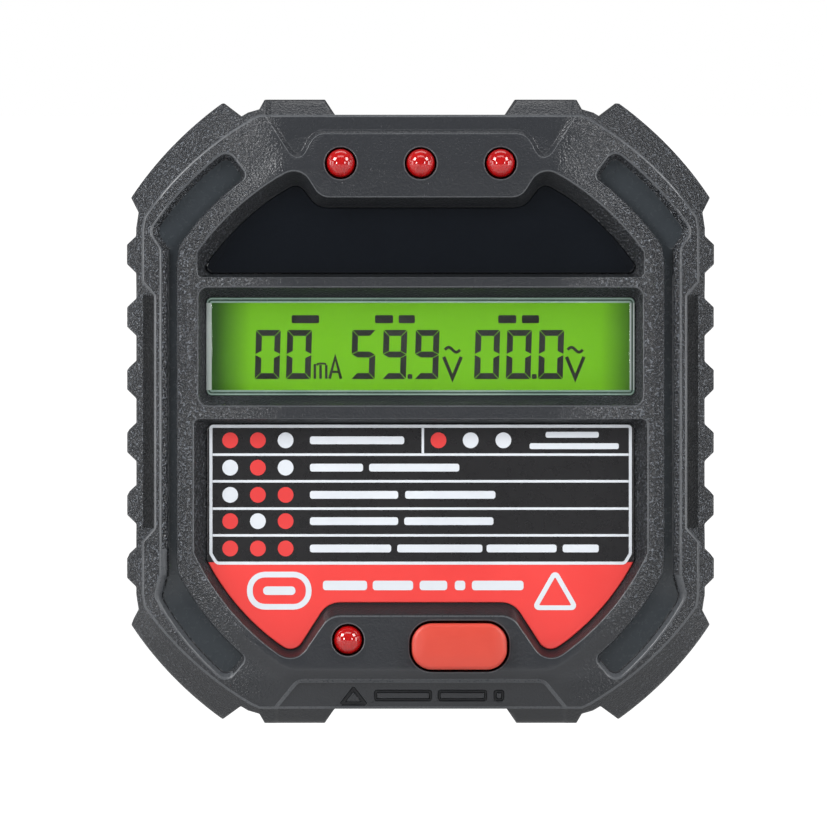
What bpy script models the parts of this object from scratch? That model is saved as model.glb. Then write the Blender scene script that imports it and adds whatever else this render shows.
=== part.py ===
"""Plug-in outlet tester: display, four lamps, a test button and a two-pin earthed plug behind.

The origin is the centre of the plug's engagement face. +Z is up, the pins point along +Y and the
display looks along -Y. Lengths below are millimetres. A depth is measured back from the flat front of
the case, so depth 0 is the display side and depth PLUG_FACE is the plane y = 0.
"""
import math

import bmesh
import bpy
from mathutils import Vector
from mathutils.geometry import delaunay_2d_cdt

MM = 0.001
GAP = 0.3  # clearance between pieces that touch or lie on each other

# Overall sizes
PLUG_FACE = 45.0
BODY_BACK = 28.0
PARTING = 19.5
HALF_WIDTH = 30.0
HALF_HEIGHT = 31.87
CORNER_RADIUS = 36.4
RIB_PROUD = 0.98
LUG_PROUD = 1.0
BUMPER_PROUD = 1.9
BUMPER_FLARE = 0.35  # how much more a bumper stands out at its upper end, and less at its lower end
RIB_CENTRES = (3.31, 9.93, 16.55)

# Front of the case
EDGE_HALF_WIDTH = 29.3
EDGE_HALF_HEIGHT = 31.2
EDGE_RADIUS = 35.6
GRIP_INSET = 1.3
LOWER_RISE = 4.0  # the lower half's corner arcs are struck about a point this far below the middle
CREST_RADIUS = 29.35
LOWER_CREST_RADIUS = 27.0
CREST_HALF_WIDTH = 24.45
CREST_TOP = 25.75
CREST_BOTTOM = -27.2
BEVEL_WIDTH = 1.2
BEVEL_SLOPE = 0.5
BACK_SLOPE = 0.15
GROOVE_INNER = 25.7
GROOVE_OUTER = 27.3
SIDE_START = 26.7
SIDE_CURVE = 0.18  # the sides fall away by this times the square of the distance past SIDE_START
STRIP_WALL = 0.3
STRIP_DROP = 0.5
LOWER_STRIP_DROP = 0.3
UPPER_MOUTH = (16.3, 15.75)  # where the rim and the foot of a strip's wall meet the case's edge
LOWER_MOUTH = (15.4, 15.0)
UPPER_STRIP = [(13.8, 27.2, 0.0), (13.0, 26.75, 0.0), (11.8, 28.0, 0.0), (10.5, 29.3, 0.0)]
LOWER_STRIP = [(13.25, -28.5, 0.0), (12.7, -28.15, 0.0)]
POCKET_FLOOR = 2.05
PLATE_FRONT = 1.5
PLATE_THICKNESS = 0.5
PLATE_FLOOR = PLATE_FRONT + PLATE_THICKNESS + GAP
WINDOW_FRONT = 1.5
WINDOW_THICKNESS = 1.0
WINDOW_LEDGE = WINDOW_FRONT + WINDOW_THICKNESS + GAP

# Inside of the case
WALL_BACK = 4.2
CAVITY = (27.8, 29.2, 34.0)  # half width, half height and corner radius
REAR_WALL = 26.0
CASE_SCREWS = [(22.5, 20.0), (-22.5, 20.0), (-22.5, -20.0), (22.5, -20.0)]
CASE_POST_RADIUS = 3.0
CASE_POST_END = 18.0
CASE_PILOT_RADIUS = 1.45
WELL_RADIUS = 2.7
WELL_FLOOR = 21.5
BOARD_SCREWS = [(15.5, 23.0), (-15.5, 23.0), (-23.5, -9.0), (23.5, -9.0)]
BOARD_POST_RADIUS = 2.2
BOARD_PILOT_RADIUS = 1.05
BOARD_FRONT = 13.1
BOARD_BACK = 14.7

# Display
WINDOW = (-22.6, 22.6, 1.7, 12.07)
VIEW = (-21.95, 21.95, 2.05, 11.55)
DISPLAY_RIM = (-23.4, 23.4, 0.7, 13.1)

# Lamps and button
LAMPS = {"left": (-8.42, 26.2), "centre": (0.0, 26.2), "right": (8.42, 26.2), "lower": (-7.66, -24.0)}
LAMP_RADIUS = 1.5
LAMP_PROUD = 0.8
LAMP_FLANGE_RADIUS = 1.9
LEAD_PITCH = 2.54
LEAD_HALF = 0.25
BUTTON = (4.07, -24.68)
BUTTON_SIZE = (10.0, 4.86)
BUTTON_CORNER = 2.1
BUTTON_PROUD = 1.2
STEM_RADIUS = 1.6
SPRING_TURNS = 2.5

# Plug
HUB_RADIUS = 18.4
HUB_CAVITY = 14.2
HUB_FACE_WALL = 2.5
EARTH_NOTCH = (3.1, 16.5)  # half width and distance of its floor from the axis
GUIDE_NOTCH = (2.6, 16.3)
PIN_SPACING = 19.0
PIN_RADIUS = 2.4
PIN_LENGTH = 19.0
STRAP_HALF_WIDTH = 2.5
STRAP_THICKNESS = 0.8
CARRIER_FRONT = 38.2
CARRIER_SCREWS = [(0.0, 9.5), (0.0, -9.5)]


def clear_scene():
    for item in list(bpy.data.objects):
        bpy.data.objects.remove(item, do_unlink=True)


def place(x, z, depth):
    return (x * MM, (depth - PLUG_FACE) * MM, z * MM)


def material(name, colour, roughness, metallic=0.0, transmission=0.0):
    found = bpy.data.materials.get(name)
    if found is None:
        found = bpy.data.materials.new(name)
        found.use_nodes = True
        shader = found.node_tree.nodes["Principled BSDF"]
        shader.inputs["Base Color"].default_value = (*colour, 1.0)
        shader.inputs["Roughness"].default_value = roughness
        shader.inputs["Metallic"].default_value = metallic
        shader.inputs["Transmission Weight"].default_value = transmission
    return found


def finishes():
    return {
        "case": material("case_plastic", (0.030, 0.031, 0.034), 0.6),
        "plate": material("plate_black", (0.006, 0.007, 0.009), 0.25),
        "label": material("label_film", (0.010, 0.010, 0.012), 0.35),
        "red": material("button_red", (0.72, 0.045, 0.03), 0.4),
        "lamp": material("lamp_red", (0.70, 0.01, 0.01), 0.1, transmission=0.5),
        "clear": material("clear_plastic", (0.75, 0.85, 0.85), 0.05, transmission=0.9),
        "glass": material("display_glass", (0.16, 0.42, 0.02), 0.15),
        "white": material("white_plastic", (0.80, 0.80, 0.78), 0.45),
        "rubber": material("grey_rubber", (0.25, 0.22, 0.24), 0.8),
        "board": material("board_green", (0.02, 0.16, 0.05), 0.45),
        "chip": material("chip_black", (0.02, 0.02, 0.02), 0.5),
        "nickel": material("nickel", (0.72, 0.70, 0.66), 0.22, metallic=1.0),
        "steel": material("zinc_steel", (0.55, 0.56, 0.58), 0.35, metallic=1.0),
        "cement": material("cement_white", (0.72, 0.70, 0.66), 0.8),
        "film": material("film_yellow", (0.75, 0.55, 0.08), 0.4),
        "sleeve": material("capacitor_sleeve", (0.03, 0.04, 0.12), 0.35),
        "resistor": material("resistor_green", (0.10, 0.30, 0.16), 0.5),
        "brown": material("wire_brown", (0.22, 0.09, 0.04), 0.45),
        "blue": material("wire_blue", (0.04, 0.16, 0.55), 0.45),
        "earth": material("wire_earth", (0.25, 0.50, 0.05), 0.45),
        "paper": material("rating_silver", (0.60, 0.60, 0.60), 0.5),
    }


# Outlines. An outline is a list of corners (x, z, radius), anticlockwise seen from the display side.


def polar(radius, degrees):
    angle = math.radians(degrees)
    return radius * math.cos(angle), radius * math.sin(angle)


def sharp_arc(radius, start, end, steps, centre=(0.0, 0.0)):
    """Corners with no rounding along an arc, both ends included."""
    corners = []
    for i in range(steps + 1):
        x, z = polar(radius, start + (end - start) * i / steps)
        corners.append((centre[0] + x, centre[1] + z, 0.0))
    return corners


def circle(centre, radius, steps=16):
    return sharp_arc(radius, 0.0, 360.0, steps, centre)[:-1]


def rectangle(sides, radius):
    x0, x1, z0, z1 = sides
    return [(x1, z0, radius), (x1, z1, radius), (x0, z1, radius), (x0, z0, radius)]


def centred_rectangle(centre, size, radius):
    half_x, half_z = size[0] / 2, size[1] / 2
    x, z = centre
    return rectangle((x - half_x, x + half_x, z - half_z, z + half_z), radius)


def inset(corners, distance):
    """The outline moved inwards by a distance, or outwards by a negative one."""
    moved = []
    for i, (x, z, radius) in enumerate(corners):
        here = Vector((x, z))
        before = (here - Vector(corners[i - 1][:2])).normalized()
        after = (Vector(corners[(i + 1) % len(corners)][:2]) - here).normalized()
        normal_before = Vector((-before.y, before.x))
        normal_after = Vector((-after.y, after.x))
        shift = (normal_before + normal_after) / (1.0 + normal_before.dot(normal_after))
        convex = before.x * after.y - before.y * after.x > 0
        if radius > 0:
            radius = max(radius - distance if convex else radius + distance, 0.15)
        moved.append((x + shift.x * distance, z + shift.y * distance, radius))
    return moved


def rounded(corners, steps=3):
    """The outline's points, with an arc of the corner's radius at each rounded corner."""
    points = []
    for i, (x, z, radius) in enumerate(corners):
        here = Vector((x, z))
        if radius == 0:
            points.append((x, z))
            continue
        back = (Vector(corners[i - 1][:2]) - here).normalized()
        ahead = (Vector(corners[(i + 1) % len(corners)][:2]) - here).normalized()
        half_angle = back.angle(ahead) / 2
        tangent = radius / math.tan(half_angle)
        centre = here + (back + ahead).normalized() * radius / math.sin(half_angle)
        start = (here + back * tangent - centre).normalized()
        end = (here + ahead * tangent - centre).normalized()
        for k in range(steps + 1):
            point = centre + radius * start.slerp(end, k / steps)
            points.append((point.x, point.y))
    return points


def inside(point, outline):
    """Even-odd test of a point against a closed list of points."""
    x, z = point
    odd = False
    for i, (x1, z1) in enumerate(outline):
        x0, z0 = outline[i - 1]
        if (z0 > z) != (z1 > z) and x < (x1 - x0) * (z - z0) / (z1 - z0) + x0:
            odd = not odd
    return odd


class Skin:
    """Collects the points and faces of one closed solid."""

    def __init__(self):
        self.flat = []
        self.points = []
        self.faces = []

    def point(self, x, z, depth):
        self.flat.append((x, z))
        self.points.append(place(x, z, depth))
        return len(self.points) - 1

    def ring(self, outline, depth):
        """A closed loop of points; the depth is a number or a function of x and z."""
        value = depth if callable(depth) else lambda x, z: depth
        return [self.point(x, z, value(x, z)) for x, z in outline]

    def strip(self, first, second, closed=True):
        """Quads between two loops that have the same number of points."""
        for i in range(0 if closed else 1, len(first)):
            self.faces.append((first[i - 1], first[i], second[i], second[i - 1]))

    def fill(self, outer, holes=(), lines=()):
        """Triangles inside a loop and outside its holes, with edges along the given lines."""
        keys, edges = [], []
        for loop in (outer, *holes):
            first = len(keys)
            keys.extend(loop)
            edges += [(first + i, first + (i + 1) % len(loop)) for i in range(len(loop))]
        for line in lines:
            first = len(keys)
            keys.extend(line)
            edges += [(first + i, first + i + 1) for i in range(len(line) - 1)]
        spots = [Vector(self.flat[key]) for key in keys]
        _, _, faces, origins, _, _ = delaunay_2d_cdt(spots, edges, [], 0, 1e-6)
        outer_flat = [self.flat[key] for key in outer]
        hole_flats = [[self.flat[key] for key in hole] for hole in holes]
        for face in faces:
            corners = [keys[origins[i][0]] for i in face]
            middle = [sum(self.flat[c][axis] for c in corners) / 3 for axis in (0, 1)]
            if inside(middle, outer_flat) and not any(inside(middle, hole) for hole in hole_flats):
                self.faces.append(tuple(corners))

    def cap(self, loop):
        self.faces.append(tuple(loop))

    def fan(self, loop, x, z, depth):
        tip = self.point(x, z, depth)
        for i in range(len(loop)):
            self.faces.append((loop[i - 1], loop[i], tip))

    def build(self, name, finish, smooth_angle=35.0):
        mesh = bpy.data.meshes.new(name)
        mesh.from_pydata(self.points, [], self.faces)
        work = bmesh.new()
        work.from_mesh(mesh)
        bmesh.ops.recalc_face_normals(work, faces=work.faces)
        work.to_mesh(mesh)
        work.free()
        mesh.shade_smooth()
        mesh.set_sharp_from_angle(angle=math.radians(smooth_angle))
        mesh.materials.append(finish)
        part = bpy.data.objects.new(name, mesh)
        bpy.context.scene.collection.objects.link(part)
        return part


def slab(name, finish, outline, front, back, holes=(), chamfer=0.0):
    """A flat plate with straight sides, holes and, where asked, a chamfered front edge."""
    skin = Skin()
    edge = skin.ring(rounded(outline), front + chamfer)
    top = skin.ring(rounded(inset(outline, chamfer)), front) if chamfer else edge
    if chamfer:
        skin.strip(top, edge)
    bottom = skin.ring(rounded(outline), back)
    skin.strip(edge, bottom)
    tops = [skin.ring(rounded(hole), front) for hole in holes]
    bottoms = [skin.ring(rounded(hole), back) for hole in holes]
    for hole_top, hole_bottom in zip(tops, bottoms):
        skin.strip(hole_top, hole_bottom)
    skin.fill(top, tops)
    skin.fill(bottom, bottoms)
    return skin.build(name, finish)


def lathe(name, finish, centre, profile, steps=16):
    """A round solid about an axis along Y; the profile is a list of (radius, depth), tip first."""
    skin = Skin()
    x, z = centre
    rings = [skin.ring(rounded(circle(centre, radius, steps)), depth)
             for radius, depth in profile if radius > 0]
    for first, second in zip(rings, rings[1:]):
        skin.strip(first, second)
    for ring, (radius, depth) in ((rings[0], profile[0]), (rings[-1], profile[-1])):
        if radius > 0:
            skin.cap(ring)
        else:
            skin.fan(ring, x, z, depth)
    return skin.build(name, finish)


def tube(name, finish, points, radius, sides=2):
    """A round wire along hand-placed or computed points (x, z, depth)."""
    curve = bpy.data.curves.new(name, "CURVE")
    curve.dimensions = "3D"
    curve.bevel_depth = radius * MM
    curve.bevel_resolution = sides
    curve.use_fill_caps = True
    spline = curve.splines.new("POLY")
    spline.points.add(len(points) - 1)
    for target, (x, z, depth) in zip(spline.points, points):
        target.co = (*place(x, z, depth), 1.0)
    curve.materials.append(finish)
    part = bpy.data.objects.new(name, curve)
    bpy.context.scene.collection.objects.link(part)
    return part


def smooth_route(knots, steps=5):
    """Points on a smooth curve through the knots."""
    padded = [knots[0], *knots, knots[-1]]
    route = []
    for before, start, end, after in zip(padded, padded[1:], padded[2:], padded[3:]):
        for k in range(steps):
            t = k / steps
            route.append(tuple(
                0.5 * (2 * b + (c - a) * t + (2 * a - 5 * b + 4 * c - d) * t * t
                       + (3 * b - a - 3 * c + d) * t ** 3)
                for a, b, c, d in zip(before, start, end, after)))
    return [*route, knots[-1]]


# Outer shape of the case


def bumper_arc(radius, bumper):
    """A bumper's outer face, which stands out more at its upper end."""
    start, end, steps = 36.4, 57.3, 6
    flare = BUMPER_FLARE if bumper else 0.0
    shares = [k / steps for k in range(steps + 1)]
    return [polar(radius + bumper + flare * (2 * share - 1), start + (end - start) * share)
            for share in shares]


def quadrant(half_width, half_height, middle, radius, rib, lug, bumper, grip, mouth):
    """Points of a cross-section from the middle of its right side to the middle of its top."""
    points = []
    for centre in RIB_CENTRES:
        side = half_width - (grip if centre < 12 else 0.0)
        points += [(side, centre - 1.95), (side + rib, centre - 1.03),
                   (side + rib, centre + 1.03), (side, centre + 1.95)]
        if centre == RIB_CENTRES[1]:
            points += [(side, 12.2), (half_width, 13.7)]
    points += [(half_width, 19.4), polar(radius, 35.2)]
    points += bumper_arc(radius, bumper)
    points += [polar(radius, 58.6), polar(radius, 60.2), (17.4, half_height)]
    points += [(17.0, half_height), (16.45, half_height + lug)]
    points += [(x, half_height + lug) for x in mouth]
    points += [(10.1, half_height + lug), (9.0, middle)]
    return points


def section(half_width=HALF_WIDTH, half_height=HALF_HEIGHT, middle=EDGE_HALF_HEIGHT,
            radius=CORNER_RADIUS, rib=RIB_PROUD, lug=LUG_PROUD, bumper=BUMPER_PROUD, grip=0.0):
    """A whole cross-section of the case, anticlockwise from the right side."""
    upper = quadrant(half_width, half_height, middle, radius, rib, lug, bumper, grip, UPPER_MOUTH)
    lower = quadrant(half_width, half_height, middle, radius, rib, lug, bumper, grip, LOWER_MOUTH)
    top_left = [(-x, z) for x, z in reversed(upper)]
    bottom_left = [(-x, -z) for x, z in lower]
    bottom_right = [(x, -z) for x, z in reversed(lower)]
    return [*upper, *top_left, *bottom_left, *bottom_right]


def past_corner(x, z):
    """Distance outside the crest's corner arcs."""
    if z > 0:
        return math.hypot(x, z) - CREST_RADIUS
    return math.hypot(x, z + LOWER_RISE) - LOWER_CREST_RADIUS


def base_depth(x, z):
    """Depth of the front face: flat inside the crest, then a bevel, a slope and rounded sides."""
    outside = max(past_corner(x, z), abs(x) - CREST_HALF_WIDTH, z - CREST_TOP, CREST_BOTTOM - z)
    bevel = BEVEL_SLOPE * min(max(outside, 0.0), BEVEL_WIDTH)
    slope = BACK_SLOPE * max(outside - BEVEL_WIDTH, 0.0)
    return bevel + slope + SIDE_CURVE * max(abs(x) - SIDE_START, 0.0) ** 2


def crest_outline(distance):
    """The crest, moved outwards by a distance."""
    width = CREST_HALF_WIDTH + distance
    points = []
    for side, radius, rise, limit in ((1, CREST_RADIUS, 0.0, CREST_TOP),
                                      (-1, LOWER_CREST_RADIUS, LOWER_RISE, -CREST_BOTTOM)):
        start = math.degrees(math.acos(width / (radius + distance)))
        end = math.degrees(math.asin((limit + distance - rise) / (radius + distance)))
        half = [corner[:2] for corner in sharp_arc(radius + distance, start, end, 5, (0.0, rise))]
        whole = [*half, *[(-x, z) for x, z in reversed(half)]]
        points += whole if side > 0 else [(x, -z) for x, z in reversed(whole)]
    return points


def pocket_corner(inner, outer, end, turn, rise, sunk):
    """Corners of one pocket, from the groove's outer side round to the groove's inner side."""
    inner, outer = inner + 0.15 * sunk, outer - 0.55 * sunk
    end, turn = end - 0.8 * sunk, turn + 0.7 * sunk
    start = math.degrees(math.acos(GROOVE_INNER / inner)) + 1.0
    outer_arc = sharp_arc(outer, turn, end, 6, (0.0, rise))
    inner_arc = sharp_arc(inner, end, start, 5, (0.0, rise))
    outer_arc[0] = (*outer_arc[0][:2], 0.9)
    outer_arc[-1] = (*outer_arc[-1][:2], 0.8)
    inner_arc[0] = (*inner_arc[0][:2], 0.6)
    return [*outer_arc, *inner_arc]


def pocket_outline(side, sunk=0.0):
    """Two corner pockets and the groove that joins them, on the right (1) or left (-1).

    Sunk is 0 at the rim and 1 at the foot of the walls.
    """
    groove_inner, groove_outer = GROOVE_INNER + 0.12 * sunk, GROOVE_OUTER - 0.7 * sunk
    upper = pocket_corner(30.75, 34.3, 53.7, 33.7, 0.0, sunk)
    lower = pocket_corner(28.55, 31.9, 50.2, 29.0, LOWER_RISE, sunk)
    corners = [*upper, (groove_inner, 15.5, 0.0), (groove_inner, -15.5, 0.0)]
    corners += [(x, -z, r) for x, z, r in reversed(lower)]
    corners += [(groove_outer, -17.2, 0.4), (groove_outer, 17.2, 0.4)]
    return corners if side > 0 else [(-x, z, r) for x, z, r in reversed(corners)]


def winged(side, radius, half_width, base, peak, notch, corner, tip_radius, bend_radius):
    """A plate bounded by a straight base, two arcs and a notch; side 1 is above, -1 below."""
    start = math.degrees(math.acos(half_width / radius))
    end = math.degrees(math.acos(peak / radius))
    rise = 0.0 if side > 0 else LOWER_RISE
    right = [(half_width, base, corner)]
    right += sharp_arc(radius, start, end - 4.0, 6, (0.0, rise))
    tip_x, tip_z = polar(radius, end)
    right += [(tip_x, tip_z + rise, tip_radius), (*notch, bend_radius)]
    whole = [*right, *[(-x, z, r) for x, z, r in reversed(right)]]
    return whole if side > 0 else [(x, -z, r) for x, z, r in reversed(whole)]


def upper_plate_outline():
    return winged(1, 27.4, 22.6, 14.6, 12.9, (10.9, 21.5), 0.7, 0.8, 2.0)


def upper_rim_outline():
    return winged(1, 28.9, 23.5, 14.2, 12.7, (10.6, 22.6), 0.5, 1.4, 1.6)


def legend_outline():
    return winged(-1, 25.35, 22.55, 1.35, 13.3, (9.8, 20.1), 0.6, 1.3, 2.0)


def legend_rim_outline():
    return winged(-1, 26.2, 23.85, 0.75, 13.2, (9.6, 21.4), 0.6, 1.7, 2.0)


def strip_lines(strip, mouth, edge):
    """Rim and foot of a strip recess as open lines from its right mouth to its left one."""
    right = [(mouth[0], edge, 0.0), *strip]
    rim = [*right, *[(-x, z, r) for x, z, r in reversed(right)]]
    loop = rim if edge < 0 else list(reversed(rim))
    moved = inset(loop, STRIP_WALL)
    foot = moved if edge < 0 else list(reversed(moved))
    foot[0] = (mouth[1], edge, 0.0)
    foot[-1] = (-mouth[1], edge, 0.0)
    return [corner[:2] for corner in rim], [corner[:2] for corner in foot]


def front_edge_depth(x, z):
    """Depth of the case's front edge, lower where the two strips run out through it."""
    depth = base_depth(x, z)
    if z > EDGE_HALF_HEIGHT - 0.01 and abs(x) <= UPPER_MOUTH[1]:
        depth += STRIP_DROP
    if z < 0.01 - EDGE_HALF_HEIGHT and abs(x) <= LOWER_MOUTH[1]:
        depth += LOWER_STRIP_DROP
    return depth


def cavity_outline():
    half_width, half_height, radius = CAVITY
    start = math.degrees(math.acos(half_width / radius))
    end = math.degrees(math.asin(half_height / radius))
    quarter = [corner[:2] for corner in sharp_arc(radius, start, end, 4)]
    top = [*quarter, *[(-x, z) for x, z in reversed(quarter)]]
    return [*top, *[(x, -z) for x, z in reversed(top)]]


def hub_outline():
    """The plug's round hub with guide notches at its sides and earth notches above and below."""
    corners = []
    for k in range(4):
        half, floor = GUIDE_NOTCH if k % 2 == 0 else EARTH_NOTCH
        next_half = EARTH_NOTCH[0] if k % 2 == 0 else GUIDE_NOTCH[0]
        start = math.degrees(math.asin(half / HUB_RADIUS))
        end = 90.0 - math.degrees(math.asin(next_half / HUB_RADIUS))
        quarter = [(HUB_RADIUS * math.cos(math.radians(start)), -half, 0.0),
                   (floor, -half, 0.0), (floor, half, 0.0)]
        quarter += sharp_arc(HUB_RADIUS, start, end, 6)[:-1]
        turn = math.radians(90.0 * k)
        for x, z, radius in quarter:
            corners.append((x * math.cos(turn) - z * math.sin(turn),
                            x * math.sin(turn) + z * math.cos(turn), radius))
    return corners


# Case


def recess(skin, rim, foot, floor):
    """A wall down from the front, a step for the plate's edge and a flat floor."""
    top = skin.ring(rounded(rim), base_depth)
    step = skin.ring(rounded(foot), PLATE_FRONT)
    bottom = skin.ring(rounded(foot), floor)
    skin.strip(top, step)
    skin.strip(step, bottom)
    skin.fill(bottom)
    return top


def blind_post(skin, centre, radius, base, end, pilot_radius, pilot_end, steps=12):
    """A round post with a blind pilot hole; returns the loop where it leaves its wall."""
    foot = skin.ring(rounded(circle(centre, radius, steps)), base)
    head = skin.ring(rounded(circle(centre, radius, steps)), end)
    mouth = skin.ring(rounded(circle(centre, pilot_radius, steps)), end)
    bottom = skin.ring(rounded(circle(centre, pilot_radius, steps)), pilot_end)
    skin.strip(foot, head)
    skin.strip(head, mouth)
    skin.strip(mouth, bottom)
    skin.cap(bottom)
    return foot


def through_hole(skin, outline, back):
    """A hole from the front face to the back of the wall; returns its two loops."""
    front = skin.ring(rounded(outline), base_depth)
    rear = skin.ring(rounded(outline), back)
    skin.strip(front, rear)
    return front, rear


def run_out_strip(skin, edge_points, edge, outer, strip, mouth, side, drop):
    """A shallow strip open at the case's edge; its rim replaces part of the outer loop."""
    rim_line, foot_line = strip_lines(strip, mouth, side * EDGE_HALF_HEIGHT)
    if side < 0:
        rim_line, foot_line = rim_line[::-1], foot_line[::-1]
    rim_start, foot_start, foot_end, rim_end = (
        edge_points.index((side * x, side * EDGE_HALF_HEIGHT))
        for x in (mouth[0], mouth[1], -mouth[1], -mouth[0]))
    inner_rim = skin.ring(rim_line[1:-1], base_depth)
    inner_foot = skin.ring(foot_line[1:-1], lambda x, z: base_depth(x, z) + drop)
    rim_loop = [edge[rim_start], *inner_rim, edge[rim_end]]
    foot_loop = [edge[foot_start], *inner_foot, edge[foot_end]]
    skin.strip(rim_loop, foot_loop, closed=False)
    skin.fill([*edge[foot_start:foot_end + 1], *reversed(inner_foot)])
    first, last = outer.index(rim_loop[0]), outer.index(rim_loop[-1])
    outer[first:last + 1] = rim_loop


def display_recess(skin):
    """A sloped wall, a seat for the window and the opening behind it; returns its end loops."""
    top = skin.ring(rounded(rectangle(DISPLAY_RIM, 1.0)), base_depth)
    seat_outline = rounded(inset(rectangle(WINDOW, 0.6), -GAP))
    step = skin.ring(seat_outline, WINDOW_FRONT)
    seat = skin.ring(seat_outline, WINDOW_LEDGE)
    opening = skin.ring(rounded(rectangle(VIEW, 0.3)), WINDOW_LEDGE)
    opening_back = skin.ring(rounded(rectangle(VIEW, 0.3)), WALL_BACK)
    skin.strip(top, step)
    skin.strip(step, seat)
    skin.fill(seat, [opening])
    skin.strip(opening, opening_back)
    return top, opening_back


def front_shell(finish):
    skin = Skin()
    edge_points = section(EDGE_HALF_WIDTH, EDGE_HALF_HEIGHT, EDGE_HALF_HEIGHT, EDGE_RADIUS,
                          0.0, 0.0, 0.0, GRIP_INSET)
    edge = skin.ring(edge_points, front_edge_depth)
    shoulder = skin.ring(section(29.7, 31.75, EDGE_HALF_HEIGHT, 36.2, RIB_PROUD, LUG_PROUD,
                                 BUMPER_PROUD, 0.3), 4.6)
    waist = skin.ring(section(), 10.0)
    rim = skin.ring(section(), PARTING)
    for first, second in ((edge, shoulder), (shoulder, waist), (waist, rim)):
        skin.strip(first, second)

    outer = list(edge)
    run_out_strip(skin, edge_points, edge, outer, UPPER_STRIP, UPPER_MOUTH, 1, STRIP_DROP)
    run_out_strip(skin, edge_points, edge, outer, LOWER_STRIP, LOWER_MOUTH, -1, LOWER_STRIP_DROP)
    holes = []
    for side in (1, -1):
        top = skin.ring(rounded(pocket_outline(side), 2), base_depth)
        floor = skin.ring(rounded(pocket_outline(side, 1.0), 2), POCKET_FLOOR)
        skin.strip(top, floor)
        skin.fill(floor)
        holes.append(top)
    holes.append(recess(skin, upper_rim_outline(), inset(upper_plate_outline(), -GAP), PLATE_FLOOR))
    holes.append(recess(skin, legend_rim_outline(), inset(legend_outline(), -GAP), PLATE_FLOOR))
    display_front, display_back = display_recess(skin)
    holes.append(display_front)
    back_holes = [display_back]
    openings = [circle(spot, LAMP_RADIUS + GAP) for spot in LAMPS.values()]
    openings.append(inset(centred_rectangle(BUTTON, BUTTON_SIZE, BUTTON_CORNER), -GAP))
    for outline in openings:
        front, rear = through_hole(skin, outline, WALL_BACK)
        holes.append(front)
        back_holes.append(rear)

    skin.fill(outer, holes, crest_lines(skin))

    for spot in CASE_SCREWS:
        back_holes.append(blind_post(skin, spot, CASE_POST_RADIUS, WALL_BACK, CASE_POST_END,
                                     CASE_PILOT_RADIUS, 8.0))
    for spot in BOARD_SCREWS:
        back_holes.append(blind_post(skin, spot, BOARD_POST_RADIUS, WALL_BACK, BOARD_FRONT - GAP,
                                     BOARD_PILOT_RADIUS, 7.0))
    cavity = skin.ring(cavity_outline(), WALL_BACK)
    cavity_rim = skin.ring(cavity_outline(), PARTING)
    skin.fill(cavity, back_holes)
    skin.strip(cavity, cavity_rim)
    skin.fill(rim, [cavity_rim])
    return skin.build("front_shell", finish)


def crest_lines(skin):
    """Edges along the crest and the foot of its bevel, interrupted at holes, pockets and strips."""
    lines = []
    for distance in (0.0, BEVEL_WIDTH):
        outline = crest_outline(distance)
        line = []
        for i, (x1, z1) in enumerate([*outline, outline[0]]):
            x0, z0 = outline[i - 1]
            steps = max(1, round(math.hypot(x1 - x0, z1 - z0) / 1.3)) if i and abs(x1 - x0) > 10 else 1
            for k in range(1, steps + 1):
                x, z = x0 + (x1 - x0) * k / steps, z0 + (z1 - z0) * k / steps
                if crest_blocked(x, z, distance):
                    if len(line) > 1:
                        lines.append(line)
                    line = []
                else:
                    line.append(skin.point(x, z, base_depth(x, z)))
        if len(line) > 1:
            lines.append(line)
    return lines


def crest_blocked(x, z, distance):
    """Whether a point of the crest or bevel foot lies at a lamp, the button, a strip or a pocket."""
    near_lamp = any(math.hypot(x - a, z - b) < LAMP_RADIUS + 0.7 for a, b in LAMPS.values())
    near_button = abs(x - BUTTON[0]) < BUTTON_SIZE[0] / 2 + 0.7 and z < 0
    in_upper_strip = z > 26.4 and 10.0 < abs(x) < 14.6
    in_lower_strip = z < -27.9 and abs(x) < 14.0
    in_pocket = distance > 0 and abs(x) > 17.5
    return near_lamp or near_button or in_upper_strip or in_lower_strip or in_pocket


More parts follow.
